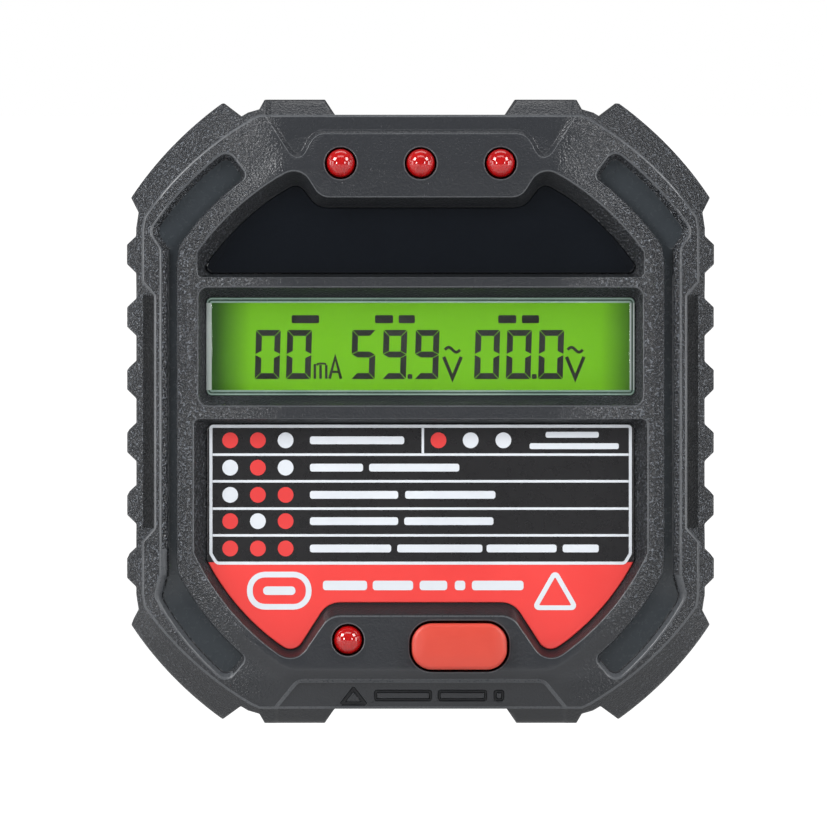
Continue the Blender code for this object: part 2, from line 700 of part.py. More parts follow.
def rear_shell(finish):
    skin = Skin()
    rim = skin.ring(section(), PARTING + GAP)
    taper = skin.ring(section(), 24.5)
    shoulder = skin.ring(section(29.6, 31.5, 31.0, 36.0, 0.3, 0.3, 0.6), 26.8)
    back_edge = skin.ring(section(28.4, 30.3, 30.2, 34.8, 0.0, 0.0, 0.0), BODY_BACK)
    for first, second in ((rim, taper), (taper, shoulder), (shoulder, back_edge)):
        skin.strip(first, second)
    cavity_rim = skin.ring(cavity_outline(), PARTING + GAP)
    cavity = skin.ring(cavity_outline(), REAR_WALL)
    skin.fill(rim, [cavity_rim])
    skin.strip(cavity_rim, cavity)

    inner_holes, outer_holes = [], []
    for x, z in CASE_SCREWS:
        foot = skin.ring(rounded(circle((x, z), WELL_RADIUS + 0.9)), REAR_WALL)
        head = skin.ring(rounded(circle((x, z), WELL_RADIUS + 0.9)), CASE_POST_END + GAP)
        mouth = skin.ring(rounded(circle((x, z), 1.5)), CASE_POST_END + GAP)
        seat_inner = skin.ring(rounded(circle((x, z), 1.5)), WELL_FLOOR)
        seat_outer = skin.ring(rounded(circle((x, z), WELL_RADIUS)), WELL_FLOOR)
        well = skin.ring(rounded(circle((x, z), WELL_RADIUS)), BODY_BACK)
        loops = (foot, head, mouth, seat_inner, seat_outer, well)
        for first, second in zip(loops, loops[1:]):
            skin.strip(first, second)
        inner_holes.append(foot)
        outer_holes.append(well)
    for side in (1, -1):
        middle = side * (EARTH_NOTCH[1] + GAP + STRAP_THICKNESS / 2)
        slot = centred_rectangle((0.0, middle), (2 * STRAP_HALF_WIDTH + 2 * GAP,
                                                 STRAP_THICKNESS + 1.8 * GAP), 0.0)
        inner = skin.ring(rounded(slot), REAR_WALL)
        outer = skin.ring(rounded(slot), BODY_BACK)
        skin.strip(inner, outer)
        inner_holes.append(inner)
        outer_holes.append(outer)

    hub_foot = skin.ring(rounded(hub_outline()), BODY_BACK)
    hub_end = skin.ring(rounded(hub_outline()), PLUG_FACE - 0.6)
    face = skin.ring(rounded(inset(hub_outline(), 0.6)), PLUG_FACE)
    hollow = skin.ring(rounded(circle((0, 0), HUB_CAVITY, 32)), REAR_WALL)
    hollow_end = skin.ring(rounded(circle((0, 0), HUB_CAVITY, 32)), PLUG_FACE - HUB_FACE_WALL)
    skin.strip(hub_foot, hub_end)
    skin.strip(hub_end, face)
    skin.strip(hollow, hollow_end)
    face_holes, wall_holes = [], []
    for x in (PIN_SPACING / 2, -PIN_SPACING / 2):
        outer = skin.ring(rounded(circle((x, 0), PIN_RADIUS + GAP)), PLUG_FACE)
        inner = skin.ring(rounded(circle((x, 0), PIN_RADIUS + GAP)), PLUG_FACE - HUB_FACE_WALL)
        skin.strip(outer, inner)
        face_holes.append(outer)
        wall_holes.append(inner)
    for spot in CARRIER_SCREWS:
        wall_holes.append(blind_post(skin, spot, 2.3, PLUG_FACE - HUB_FACE_WALL, 40.2,
                                     BOARD_PILOT_RADIUS, 43.8))
    skin.fill(face, face_holes)
    skin.fill(hollow_end, wall_holes)
    skin.fill(cavity, [hollow, *inner_holes])
    skin.fill(back_edge, [hub_foot, *outer_holes])
    return skin.build("rear_shell", finish)


# Front pieces


def window_and_plates(finish):
    slab("lcd_window", finish["clear"], rectangle(WINDOW, 0.6), WINDOW_FRONT,
         WINDOW_FRONT + WINDOW_THICKNESS, chamfer=0.4)
    slab("upper_plate", finish["plate"], upper_plate_outline(), PLATE_FRONT,
         PLATE_FRONT + PLATE_THICKNESS, chamfer=0.15)
    slab("legend_label", finish["label"], legend_outline(), PLATE_FRONT,
         PLATE_FRONT + PLATE_THICKNESS, chamfer=0.15)
    slab("rating_label", finish["paper"], centred_rectangle((0, -24.4), (24.0, 7.5), 0.8),
         BODY_BACK + GAP, BODY_BACK + GAP + 0.3)


def lamps(finish):
    dome = [(LAMP_RADIUS * math.sin(math.radians(a)),
             LAMP_RADIUS * (1 - math.cos(math.radians(a))) - LAMP_PROUD) for a in range(0, 91, 15)]
    flange = WALL_BACK + GAP
    body = [(LAMP_RADIUS, flange), (LAMP_FLANGE_RADIUS, flange), (LAMP_FLANGE_RADIUS, flange + 1.0),
            (0.0, flange + 1.0)]
    for name, (x, z) in LAMPS.items():
        lathe(f"led_{name}", finish["lamp"], (x, z), dome + body)
        for tag, side in (("a", -1), ("b", 1)):
            spot = (x + side * LEAD_PITCH / 2, z)
            slab(f"led_{name}_lead_{tag}", finish["steel"],
                 centred_rectangle(spot, (2 * LEAD_HALF, 2 * LEAD_HALF), 0.0),
                 flange + 1.0 + GAP, BOARD_BACK + 1.0)


def test_button(finish):
    """The pressed cap: a domed top, straight sides and a flange that keeps it behind the wall."""
    skin = Skin()
    cap = centred_rectangle(BUTTON, BUTTON_SIZE, BUTTON_CORNER)
    flange_front = WALL_BACK + GAP
    flange = inset(cap, -0.8)
    loops = [(inset(cap, 1.6), 0.0 - BUTTON_PROUD), (inset(cap, 0.5), 0.08 - BUTTON_PROUD),
             (inset(cap, 0.12), 0.3 - BUTTON_PROUD), (cap, 0.7 - BUTTON_PROUD),
             (cap, flange_front), (flange, flange_front), (flange, flange_front + 1.0)]
    rings = [skin.ring(rounded(outline), depth) for outline, depth in loops]
    for first, second in zip(rings, rings[1:]):
        skin.strip(first, second)
    skin.cap(rings[0])
    skin.cap(rings[-1])
    skin.build("test_button", finish["red"])


def switch(finish):
    """The push switch under the button: body, cover, dome contact, plunger and return spring."""
    x, z = BUTTON
    cap_back = WALL_BACK + GAP + 1.0
    cover_front = 8.0
    body_front = cover_front + 0.3 + GAP
    body_back = BOARD_FRONT - GAP
    skin = Skin()
    outline = centred_rectangle(BUTTON, (6.0, 6.0), 0.4)
    front = skin.ring(rounded(outline), body_front)
    back = skin.ring(rounded(outline), body_back)
    mouth = skin.ring(rounded(circle(BUTTON, 2.55)), body_front)
    floor = skin.ring(rounded(circle(BUTTON, 2.55)), body_back - 0.5)
    skin.strip(front, back)
    skin.strip(mouth, floor)
    skin.fill(front, [mouth])
    skin.cap(floor)
    skin.cap(back)
    skin.build("switch_body", finish["chip"])
    slab("switch_cover", finish["steel"], centred_rectangle(BUTTON, (6.0, 6.0), 0.4),
         cover_front, cover_front + 0.3, [circle(BUTTON, STEM_RADIUS + GAP)])
    collar = body_front + 0.25
    lathe("switch_plunger", finish["chip"], BUTTON,
          [(STEM_RADIUS, cap_back + GAP), (STEM_RADIUS, collar), (2.2, collar),
           (2.2, collar + 1.1), (0.0, collar + 1.1)])
    dome_rise, dome_radius = 0.5, 2.2
    dome_floor = body_back - 0.5 - GAP
    outer = [(dome_radius * k / 5, dome_floor - 0.15 - dome_rise * (1 - (k / 5) ** 2))
             for k in range(6)]
    inner = [(radius, depth + 0.15) for radius, depth in reversed(outer)]
    lathe("switch_dome", finish["nickel"], BUTTON, outer + inner)
    wire, mean_radius = 0.15, 2.3
    first, last = cap_back + GAP + wire, cover_front - GAP - wire
    steps = int(SPRING_TURNS * 20)
    coil = []
    for i in range(steps + 1):
        angle = 2 * math.pi * SPRING_TURNS * i / steps
        coil.append((x + mean_radius * math.cos(angle), z + mean_radius * math.sin(angle),
                     first + (last - first) * i / steps))
    tube("button_spring", finish["steel"], coil, wire, sides=1)


# Display stack and board


def display(finish):
    glass_front = WALL_BACK + 0.4
    slab("lcd_front_glass", finish["glass"], rectangle((-24.0, 24.0, -3.0, 14.0), 0.0),
         glass_front, glass_front + 1.1)
    slab("lcd_rear_glass", finish["glass"], rectangle((-24.0, 24.0, -0.6, 14.0), 0.0),
         glass_front + 1.4, glass_front + 2.5)
    slab("backlight_guide", finish["white"], rectangle((-22.6, 23.9, -0.4, 13.8), 0.0),
         glass_front + 2.8, glass_front + 5.3)
    slab("backlight_led", finish["white"], rectangle((-24.1, -22.9, 5.0, 8.0), 0.0),
         glass_front + 3.3, glass_front + 4.6)
    slab("zebra_strip", finish["rubber"], rectangle((-22.0, 22.0, -2.8, -0.9), 0.0),
         glass_front + 1.4, BOARD_FRONT - GAP)
    slab("lcd_holder", finish["white"], rectangle((-26.2, 26.2, -4.8, 16.0), 1.0),
         WALL_BACK + GAP, BOARD_FRONT - GAP, [rectangle((-24.4, 24.4, -3.3, 14.3), 0.4)])


def board(finish):
    """A cross-shaped board that leaves the four case posts free."""
    half_width, half_height, arm, step = 26.8, 28.2, 17.8, 15.5
    quarter = [(half_width, step, 0.0), (arm, step, 1.0), (arm, half_height, 0.0)]
    top = [*quarter, *[(-x, z, r) for x, z, r in reversed(quarter)]]
    outline = [*top, *[(x, -z, r) for x, z, r in reversed(top)]]
    holes = [circle(spot, 1.3, 12) for spot in BOARD_SCREWS]
    for x, z in LAMPS.values():
        for side in (-1, 1):
            size = 2 * (LEAD_HALF + GAP)
            holes.append(centred_rectangle((x + side * LEAD_PITCH / 2, z), (size, size), 0.0))
    slab("main_pcb", finish["board"], outline, BOARD_FRONT, BOARD_BACK, holes)


def components(finish):
    base = BOARD_BACK + GAP
    slab("rcd_load_resistor", finish["cement"], rectangle((-12.5, 12.5, -20.5, -13.0), 0.5),
         base, base + 7.5)
    slab("film_capacitor", finish["film"], rectangle((-20.0, -15.0, -6.0, 7.0), 0.5),
         base, base + 9.0)
    slab("controller_chip", finish["chip"], rectangle((-4.5, 4.5, -5.0, 4.0), 0.2),
         base, base + 1.4)
    slab("bridge_rectifier", finish["chip"], rectangle((4.5, 11.0, 9.0, 17.0), 0.3),
         base, base + 2.8)
    lathe("electrolytic_capacitor", finish["sleeve"], (18.5, 3.5),
          [(3.4, base), (4.0, base + 0.4), (4.0, base + 9.6), (3.5, base + 10.0), (0.0, base + 10.0)])
    z, depth = 13.0, base + 1.9
    skin = Skin()
    profile = [(-9.0, 0.35), (-4.6, 0.35), (-4.5, 1.5), (-3.4, 1.75), (1.4, 1.75), (2.5, 1.5),
               (2.6, 0.35), (4.0, 0.35)]
    rings = []
    for x, radius in profile:
        loop = []
        for k in range(12):
            angle = math.radians(30 * k)
            loop.append(skin.point(x, z + radius * math.cos(angle), depth + radius * math.sin(angle)))
        rings.append(loop)
    for first, second in zip(rings, rings[1:]):
        skin.strip(first, second)
    skin.cap(rings[0])
    skin.cap(rings[-1])
    skin.build("fuse_resistor", finish["resistor"])


# Plug


def plug_metal(finish):
    face_back = PLUG_FACE - HUB_FACE_WALL
    tip = PLUG_FACE + PIN_LENGTH
    collar_back = face_back - GAP
    profile = [(0.0, tip), (1.2, tip - 0.25), (2.0, tip - 0.9), (PIN_RADIUS, tip - 2.0),
               (PIN_RADIUS, collar_back), (3.4, collar_back), (3.4, 40.0), (1.6, 40.0),
               (1.6, 35.5), (0.0, 35.5)]
    for name, side in (("live_pin", 1), ("neutral_pin", -1)):
        lathe(name, finish["nickel"], (side * PIN_SPACING / 2, 0.0), profile, 20)
    earth_strap(finish["nickel"])
    slab("pin_carrier", finish["white"], circle((0, 0), HUB_CAVITY - 0.5, 32),
         CARRIER_FRONT, CARRIER_FRONT + 1.5,
         [circle((PIN_SPACING / 2, 0), 1.9), circle((-PIN_SPACING / 2, 0), 1.9),
          *[circle(spot, 1.3, 12) for spot in CARRIER_SCREWS]])


def earth_strap(finish):
    """One bent strip: a bar across the plug's opening and a leg along each earth notch."""
    near = EARTH_NOTCH[1] + GAP
    bar_back, leg_end = 25.4, 43.4
    half = []
    for distance, direction in ((near + STRAP_THICKNESS, 1), (near, -1)):
        bow = [(leg_end - 14.0, 0.0), (leg_end - 10.0, 0.35), (leg_end - 6.0, 0.6),
               (leg_end - 2.0, 0.2), (leg_end, -0.1)]
        leg = [(distance + rise, depth) for depth, rise in bow]
        half.append(leg if direction > 0 else leg[::-1])
    outer, inner = half
    profile = [(near + STRAP_THICKNESS, bar_back - STRAP_THICKNESS), *outer, *inner, (near, bar_back)]
    whole = [*profile, *[(-z, depth) for z, depth in reversed(profile)]]
    skin = Skin()
    left = [skin.point(-STRAP_HALF_WIDTH, z, depth) for z, depth in whole]
    right = [skin.point(STRAP_HALF_WIDTH, z, depth) for z, depth in whole]
    skin.strip(left, right)
    skin.cap(left)
    skin.cap(right)
    skin.build("earth_strap", finish)


def wires(finish):
    board_side = BOARD_BACK + 0.5
    routes = {
        "live_wire": (finish["brown"], [(9.5, 0.0, 35.0), (9.5, 0.3, 31.0), (10.2, 2.5, 26.0),
                                        (12.5, -2.0, 20.5), (12.8, -6.0, board_side)]),
        "neutral_wire": (finish["blue"], [(-9.5, 0.0, 35.0), (-9.5, 0.3, 31.0), (-9.6, 2.5, 26.0),
                                          (-10.5, -2.0, 20.5), (-10.5, -6.0, board_side)]),
        "earth_wire": (finish["earth"], [(0.0, 6.0, 24.0), (0.2, 6.4, 22.0), (2.0, 8.0, 19.5),
                                         (1.5, 8.2, 17.5), (0.0, 7.6, board_side)]),
    }
    for name, (colour, knots) in routes.items():
        tube(name, colour, smooth_route(knots), 0.7)


def screw(name, finish, centre, head_radius, head, shank_radius, seat, tip):
    """A pan-head screw driven from behind; the seat is the depth under its head."""
    lathe(name, finish, centre,
          [(0.0, tip), (shank_radius * 0.5, tip), (shank_radius, tip + 1.2), (shank_radius, seat),
           (head_radius, seat), (head_radius, seat + 0.5 * head), (head_radius * 0.7, seat + head),
           (0.0, seat + head)], 12)


def screws(finish):
    steel = finish["steel"]
    for i, spot in enumerate(CASE_SCREWS, 1):
        screw(f"case_screw_{i}", steel, spot, 2.3, 1.7, 1.1, WELL_FLOOR + GAP, 9.5)
    for i, spot in enumerate(BOARD_SCREWS, 1):
        screw(f"pcb_screw_{i}", steel, spot, 1.8, 1.2, 0.75, BOARD_BACK + GAP, 8.0)
    for i, (x, z) in enumerate(CARRIER_SCREWS, 1):
        lathe(f"carrier_screw_{i}", steel, (x, z),
              [(0.0, 43.3), (0.75, 42.6), (0.75, CARRIER_FRONT - GAP), (1.8, CARRIER_FRONT - GAP),
               (1.8, CARRIER_FRONT - 1.0), (1.2, CARRIER_FRONT - 1.5), (0.0, CARRIER_FRONT - 1.5)], 12)


def main():
    clear_scene()
    finish = finishes()
    front_shell(finish["case"])
    rear_shell(finish["case"])
    window_and_plates(finish)
    lamps(finish)
    test_button(finish)
    switch(finish)
    display(finish)
    board(finish)
    components(finish)
    plug_metal(finish)
    wires(finish)
    screws(finish)


main()
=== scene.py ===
"""Looks of the plug-in outlet tester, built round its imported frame.

Lengths in this script are millimetres until place() turns them into metres. A point on the front is
(x, z), seen from the display side, and a depth is measured back from the flat front of the case.
"""
import math

import bmesh
import bpy
import numpy as np
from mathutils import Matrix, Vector
from mathutils.geometry import delaunay_2d_cdt


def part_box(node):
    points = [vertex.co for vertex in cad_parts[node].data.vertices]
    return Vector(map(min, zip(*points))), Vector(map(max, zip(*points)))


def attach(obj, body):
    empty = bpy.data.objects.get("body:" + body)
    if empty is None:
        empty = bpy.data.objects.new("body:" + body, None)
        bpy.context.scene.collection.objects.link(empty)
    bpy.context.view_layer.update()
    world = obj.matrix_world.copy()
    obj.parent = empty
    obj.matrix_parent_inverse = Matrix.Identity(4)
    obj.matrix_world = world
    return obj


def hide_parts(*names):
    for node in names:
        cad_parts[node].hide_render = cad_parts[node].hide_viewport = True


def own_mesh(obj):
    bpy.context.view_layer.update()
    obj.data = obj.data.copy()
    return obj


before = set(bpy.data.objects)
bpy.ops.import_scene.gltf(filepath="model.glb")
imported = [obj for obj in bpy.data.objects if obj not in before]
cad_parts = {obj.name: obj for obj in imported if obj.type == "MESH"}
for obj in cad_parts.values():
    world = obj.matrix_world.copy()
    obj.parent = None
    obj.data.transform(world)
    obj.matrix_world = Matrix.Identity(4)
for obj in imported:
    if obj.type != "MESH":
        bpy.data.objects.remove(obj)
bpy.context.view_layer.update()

MM = 0.001
FRONT_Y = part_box("front_shell")[0].y
GAP = 0.3


def depths_of(node):
    """Depths of a CAD node's near and far sides."""
    return [(corner.y - FRONT_Y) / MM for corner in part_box(node)]


# Depths read from the frame
PARTING = depths_of("front_shell")[1]
REAR_START, PLUG_FACE = depths_of("rear_shell")
PLATE_FRONT, PLATE_BACK = depths_of("upper_plate")
WINDOW_FRONT, WINDOW_BACK = depths_of("lcd_window")
LAMP_TIP, LAMP_BACK = depths_of("led_left")
BUTTON_TOP, BUTTON_BACK = depths_of("test_button")
SPRING_FRONT, SPRING_BACK = depths_of("button_spring")
PIN_BACK, PIN_TIP = depths_of("live_pin")
GLASS_FRONT, GLASS_BACK = depths_of("lcd_front_glass")
RATING_FRONT, RATING_BACK = depths_of("rating_label")

# Sizes of the case
HALF_WIDTH, HALF_HEIGHT, CORNER_RADIUS = 30.0, 31.87, 36.4
EDGE_HALF_WIDTH, EDGE_HALF_HEIGHT, EDGE_RADIUS = 29.3, 31.2, 35.6
RIB_PROUD, LUG_PROUD, BUMPER_PROUD, BUMPER_FLARE = 0.98, 1.0, 1.9, 0.35
RIB_CENTRES = (3.31, 9.93, 16.55)
GRIP_INSET, GRIP_FOOT, GRIP_DEPTH, GRIP_END = 1.3, 29.27, 3.9, 13.7
LOWER_RISE = 4.0  # the lower half's corner arcs are struck about a point this far below the middle
CREST_RADIUS, LOWER_CREST_RADIUS = 29.35, 27.0
CREST_HALF_WIDTH, CREST_TOP, CREST_BOTTOM = 24.45, 25.75, -27.2
GROOVE_INNER, GROOVE_OUTER = 25.6, 27.3
BEVEL_WIDTH, BEVEL_SLOPE, BACK_SLOPE = 1.2, 0.5, 0.15
LAMP_SLOPE_WIDTH = 3.6
SIDE_START, SIDE_CURVE = 26.7, 0.18
EDGE_LIP = 0.15
STRIP_DROP, LOWER_STRIP_DROP, MARK_DROP = 0.5, 0.3, 0.26
UPPER_MOUTH, LOWER_MOUTH = (16.3, 15.75), (15.4, 15.0)
POCKET_FLOOR, GROOVE_FLOOR = 2.05, 1.7
PLATE_FLOOR = PLATE_BACK + GAP
WINDOW_LEDGE = WINDOW_BACK + GAP
WALL_BACK = 4.2
SHOULDER, REAR_WALL, BODY_BACK = 24.2, 26.0, 28.0
CAVITY = (27.8, 29.2, 34.0)
CASE_SCREWS = [(22.5, 20.0), (-22.5, 20.0), (-22.5, -20.0), (22.5, -20.0)]
BOARD_SCREWS = [(15.5, 23.0), (-15.5, 23.0), (-23.5, -9.0), (23.5, -9.0)]
WELL_RADIUS, WELL_FLOOR = 2.7, 21.5
WINDOW = (-22.6, 22.6, 1.7, 12.07)
VIEW = (-21.95, 21.95, 2.05, 11.55)
DISPLAY_RIM = (-23.4, 23.4, 0.7, 13.1)
SPRING_TURNS, SPRING_RADIUS, SPRING_WIRE, BUTTON_TRAVEL = 2.5, 2.3, 0.15, 1.2
LAMPS = {"left": (-8.42, 26.2), "centre": (0.0, 26.2), "right": (8.42, 26.2), "lower": (-7.66, -24.0)}
LAMP_RADIUS, LAMP_FLANGE_RADIUS = 1.5, 1.9
BUTTON, BUTTON_SIZE, BUTTON_CORNER = (4.07, -24.68), (10.0, 4.86), 2.1
HUB_RADIUS, HUB_CAVITY, HUB_FACE_WALL = 18.4, 14.2, 2.5
EARTH_NOTCH, GUIDE_NOTCH = (3.1, 16.5), (2.6, 16.3)
PIN_SPACING, PIN_RADIUS = 19.0, 2.4
STRAP_HALF_WIDTH, STRAP_THICKNESS = 2.5, 0.8


def place(x, z, depth):
    return (x * MM, FRONT_Y + depth * MM, z * MM)


# Outlines: lists of corners (x, z, radius), anticlockwise seen from the display side


def polar(radius, degrees):
    angle = math.radians(degrees)
    return radius * math.cos(angle), radius * math.sin(angle)


def sharp_arc(radius, start, end, steps, centre=(0.0, 0.0)):
    corners = []
    for i in range(steps + 1):
        x, z = polar(radius, start + (end - start) * i / steps)
        corners.append((centre[0] + x, centre[1] + z, 0.0))
    return corners


def circle(centre, radius, steps=40):
    return sharp_arc(radius, 0.0, 360.0, steps, centre)[:-1]


def rectangle(sides, radius=0.0):
    x0, x1, z0, z1 = sides
    return [(x1, z0, radius), (x1, z1, radius), (x0, z1, radius), (x0, z0, radius)]


def centred_rectangle(centre, size, radius):
    half_x, half_z = size[0] / 2, size[1] / 2
    x, z = centre
    return rectangle((x - half_x, x + half_x, z - half_z, z + half_z), radius)


def flipped(points, x=-1, z=1):
    """Mirrored points in reverse order, so that an outline stays anticlockwise."""
    return [(x * point[0], z * point[1], *point[2:]) for point in reversed(points)]


def inset(corners, distance):
    """The outline moved inwards by a distance, or outwards by a negative one."""
    moved = []
    for i, (x, z, radius) in enumerate(corners):
        here = Vector((x, z))
        before = (here - Vector(corners[i - 1][:2])).normalized()
        after = (Vector(corners[(i + 1) % len(corners)][:2]) - here).normalized()
        normal_before = Vector((-before.y, before.x))
        normal_after = Vector((-after.y, after.x))
        shift = (normal_before + normal_after) / (1.0 + normal_before.dot(normal_after))
        convex = before.x * after.y - before.y * after.x > 0
        if radius > 0:
            radius = max(radius - distance if convex else radius + distance, 0.08)
        moved.append((x + shift.x * distance, z + shift.y * distance, radius))
    return moved


def rounded(corners, steps=8):
    """The outline's points, with an arc of the corner's radius at each rounded corner."""
    points = []
    for i, (x, z, radius) in enumerate(corners):
        here = Vector((x, z))
        if radius == 0:
            points.append((x, z))
            continue
        back = (Vector(corners[i - 1][:2]) - here).normalized()
        ahead = (Vector(corners[(i + 1) % len(corners)][:2]) - here).normalized()
        half_angle = back.angle(ahead) / 2
        if half_angle > math.radians(89.5):
            reach = radius * 0.15
            ends = here + back * reach, here + ahead * reach
            points += [tuple(ends[0].lerp(ends[1], k / steps)) for k in range(steps + 1)]
            continue
        tangent = radius / math.tan(half_angle)
        centre = here + (back + ahead).normalized() * radius / math.sin(half_angle)
        start = (here + back * tangent - centre).normalized()
        end = (here + ahead * tangent - centre).normalized()
        for k in range(steps + 1):
            points.append(tuple(centre + radius * start.slerp(end, k / steps)))
    return points


def within(spots, outline):
    """Which of the spots (an n by 2 array) lie inside a closed outline of points."""
    corners = np.array(outline)
    before = np.roll(corners, 1, axis=0)
    odd = np.zeros(len(spots), bool)
    for (x1, z1), (x0, z0) in zip(corners, before):
        if z0 == z1:
            continue
        crosses = (z0 > spots[:, 1]) != (z1 > spots[:, 1])
        odd ^= crosses & (spots[:, 0] < (x1 - x0) * (spots[:, 1] - z0) / (z1 - z0) + x0)
    return odd


def clear_of(spots, outline, distance):
    """Which of the spots are further than a distance from every edge of a closed outline."""
    corners = np.array(outline)
    before = np.roll(corners, 1, axis=0)
    free = np.ones(len(spots), bool)
    for end, start in zip(corners, before):
        along = end - start
        length = float(along @ along) or 1e-12
        t = np.clip(((spots - start) @ along) / length, 0, 1)
        nearest = start + t[:, None] * along
        free &= np.hypot(*(spots - nearest).T) > distance
    return free


def bezier(first, middle, last, steps):
    points = []
    for i in range(steps + 1):
        u = i / steps
        points.append(tuple((1 - u) ** 2 * a + 2 * u * (1 - u) * b + u * u * c
                            for a, b, c in zip(first, middle, last)))
    return points


def mix(a, b, t):
    return [(p[0] + (q[0] - p[0]) * t, p[1] + (q[1] - p[1]) * t) for p, q in zip(a, b)]


def quarter_round(steps, first=0):
    """A rounded edge of radius 1 as (across, along) pairs, from its side to its top."""
    angles = [math.radians(90 * k / steps) for k in range(first, steps + 1)]
    return [(1 - math.cos(angle), math.sin(angle)) for angle in angles]


class Skin:
    """Collects the points and faces of one closed mesh; each face has a material slot."""

    def __init__(self):
        self.flat = []
        self.points = []
        self.faces = []
        self.slots = []

    def point(self, x, z, depth):
        self.flat.append((x, z))
        self.points.append(place(x, z, depth))
        return len(self.points) - 1

    def ring(self, outline, depth):
        value = depth if callable(depth) else lambda x, z: depth
        return [self.point(x, z, value(x, z)) for x, z in outline]

    def rings(self, loops, steps=8):
        """Rings of rounded outlines, from (outline, depth) pairs."""
        return [self.ring(rounded(outline, steps), depth) for outline, depth in loops]

    def round_rings(self, spot, profile, steps=40):
        """Rings about a spot, from (radius, depth) pairs."""
        return self.rings([(circle(spot, radius, steps), depth) for radius, depth in profile])

    def face(self, corners, slot=0):
        self.faces.append(tuple(corners))
        self.slots.append(slot)

    def strip(self, first, second, slot=0, closed=True):
        for i in range(0 if closed else 1, len(first)):
            self.face((first[i - 1], first[i], second[i], second[i - 1]), slot)

    def strips(self, rings, slot=0, closed=True):
        for first, second in zip(rings, rings[1:]):
            self.strip(first, second, slot, closed)

    def solid(self, rings):
        """Walls through the rings, closed at both ends."""
        self.strips(rings)
        self.fill(rings[0])
        self.fill(rings[-1])

    def fill(self, outer, holes=(), extra=(), slot=0):
        """Triangles inside a loop and outside its holes, through the extra free points."""
        keys, edges = [], []
        for loop in (outer, *holes):
            first = len(keys)
            keys.extend(loop)
            edges += [(first + i, first + (i + 1) % len(loop)) for i in range(len(loop))]
        keys.extend(extra)
        spots = [Vector(self.flat[key]) for key in keys]
        _, _, faces, origins, _, _ = delaunay_2d_cdt(spots, edges, [], 0, 1e-7)
        known = [origin[0] if origin else None for origin in origins]
        if None in known:
            raise ValueError("two loops of one face cross")
        corners = np.array([[keys[known[i]] for i in face] for face in faces])
        middles = np.array(self.flat)[corners].mean(axis=1)
        keep = within(middles, [self.flat[key] for key in outer])
        for hole in holes:
            keep &= ~within(middles, [self.flat[key] for key in hole])
        for triangle in corners[keep]:
            self.face([int(i) for i in triangle], slot)

    def fan(self, loop, spot, depth, slot=0):
        tip = self.point(*spot, depth)
        for i in range(len(loop)):
            self.face((loop[i - 1], loop[i], tip), slot)

    def build(self, name, materials, node=None, body="case", sharp=50.0):
        """The mesh as a piece on a body; it stands for the CAD node, if one is named."""
        mesh = bpy.data.meshes.new(name)
        mesh.from_pydata(self.points, [], self.faces)
        for finish in materials:
            mesh.materials.append(finish)
        mesh.polygons.foreach_set("material_index", self.slots)
        work = bmesh.new()
        work.from_mesh(mesh)
        bmesh.ops.recalc_face_normals(work, faces=work.faces)
        work.to_mesh(mesh)
        work.free()
        mesh.shade_smooth()
        mesh.set_sharp_from_angle(angle=math.radians(sharp))
        piece = bpy.data.objects.new(name, mesh)
        bpy.context.scene.collection.objects.link(piece)
        weights = piece.modifiers.new("face_weights", "WEIGHTED_NORMAL")
        weights.keep_sharp = True
        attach(piece, body)
        if node:
            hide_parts(node)
        return piece


def slope_profile(width, drop, lip, toe, ends, steps=4):
    """A slope with a rounded lip and toe, as (share across, share down) pairs."""
    slant = math.hypot(width, drop)
    lip, toe = min(lip / slant, 0.45), min(toe / slant, 0.45)
    return (bezier((-ends[0], 0.0), (0.0, 0.0), (lip, lip), steps)
            + bezier((1 - toe, 1 - toe), (1.0, 1.0), (1 + ends[1], 1.0), steps))


def wall(skin, rim, foot, top, floor, lip=0.16, toe=0.08, steps=4, slot=0, lip_highlight_slot=None):
    """A wall from a rim to a foot with rounded ends; returns its outermost and innermost rings."""
    top = top if callable(top) else (lambda x, z, d=top: d)
    floor = floor if callable(floor) else (lambda x, z, d=floor: d)
    width = sum(math.dist(p, q) for p, q in zip(rim, foot)) / len(rim)
    drop = abs(top(*rim[0]) - floor(*foot[0]))
    rings = []
    for t, f in slope_profile(width, drop, lip, toe, (lip / width, toe / width), steps):
        rings.append(skin.ring(mix(rim, foot, t), lambda x, z: top(x, z) * (1 - f) + floor(x, z) * f))
    split = steps // 2 + 1
    # the lip can take a slot of its own; the case gives it a painted highlight
    skin.strips(rings[:split], slot if lip_highlight_slot is None else lip_highlight_slot)
    skin.strips(rings[split - 1:], slot)
    return rings


# Materials


def feed(tree, node, inputs):
    """Sets a node's inputs: another node's socket is linked, and a number or colour is set."""
    for name, value in inputs.items():
        socket = node.inputs[name]
        if isinstance(value, bpy.types.NodeSocket):
            tree.links.new(value, socket)
        else:
            socket.default_value = (*value, 1.0) if socket.type == "RGBA" else value


def add(tree, kind, inputs=None, **settings):
    node = tree.nodes.new("ShaderNode" + kind)
    for name, value in settings.items():
        setattr(node, name, value)
    feed(tree, node, inputs or {})
    return node


def nodes_of(name):
    finish = bpy.data.materials.new(name)
    finish.use_nodes = True
    tree = finish.node_tree
    return finish, tree, tree.nodes["Principled BSDF"]


def maths(tree, operation, *values):
    return add(tree, "Math", dict(enumerate(values)), operation=operation).outputs["Value"]


def surface(tree, source="Object"):
    """The place on the surface."""
    return add(tree, "TexCoord").outputs[source]


def along_axes(tree, source="Object"):
    """The three numbers of the place on the surface."""
    return add(tree, "SeparateXYZ", {"Vector": surface(tree, source)}).outputs


def noise(tree, scale, detail=2.0, roughness=0.5):
    inputs = {"Vector": surface(tree), "Scale": scale, "Detail": detail, "Roughness": roughness}
    return add(tree, "TexNoise", inputs).outputs["Fac"]


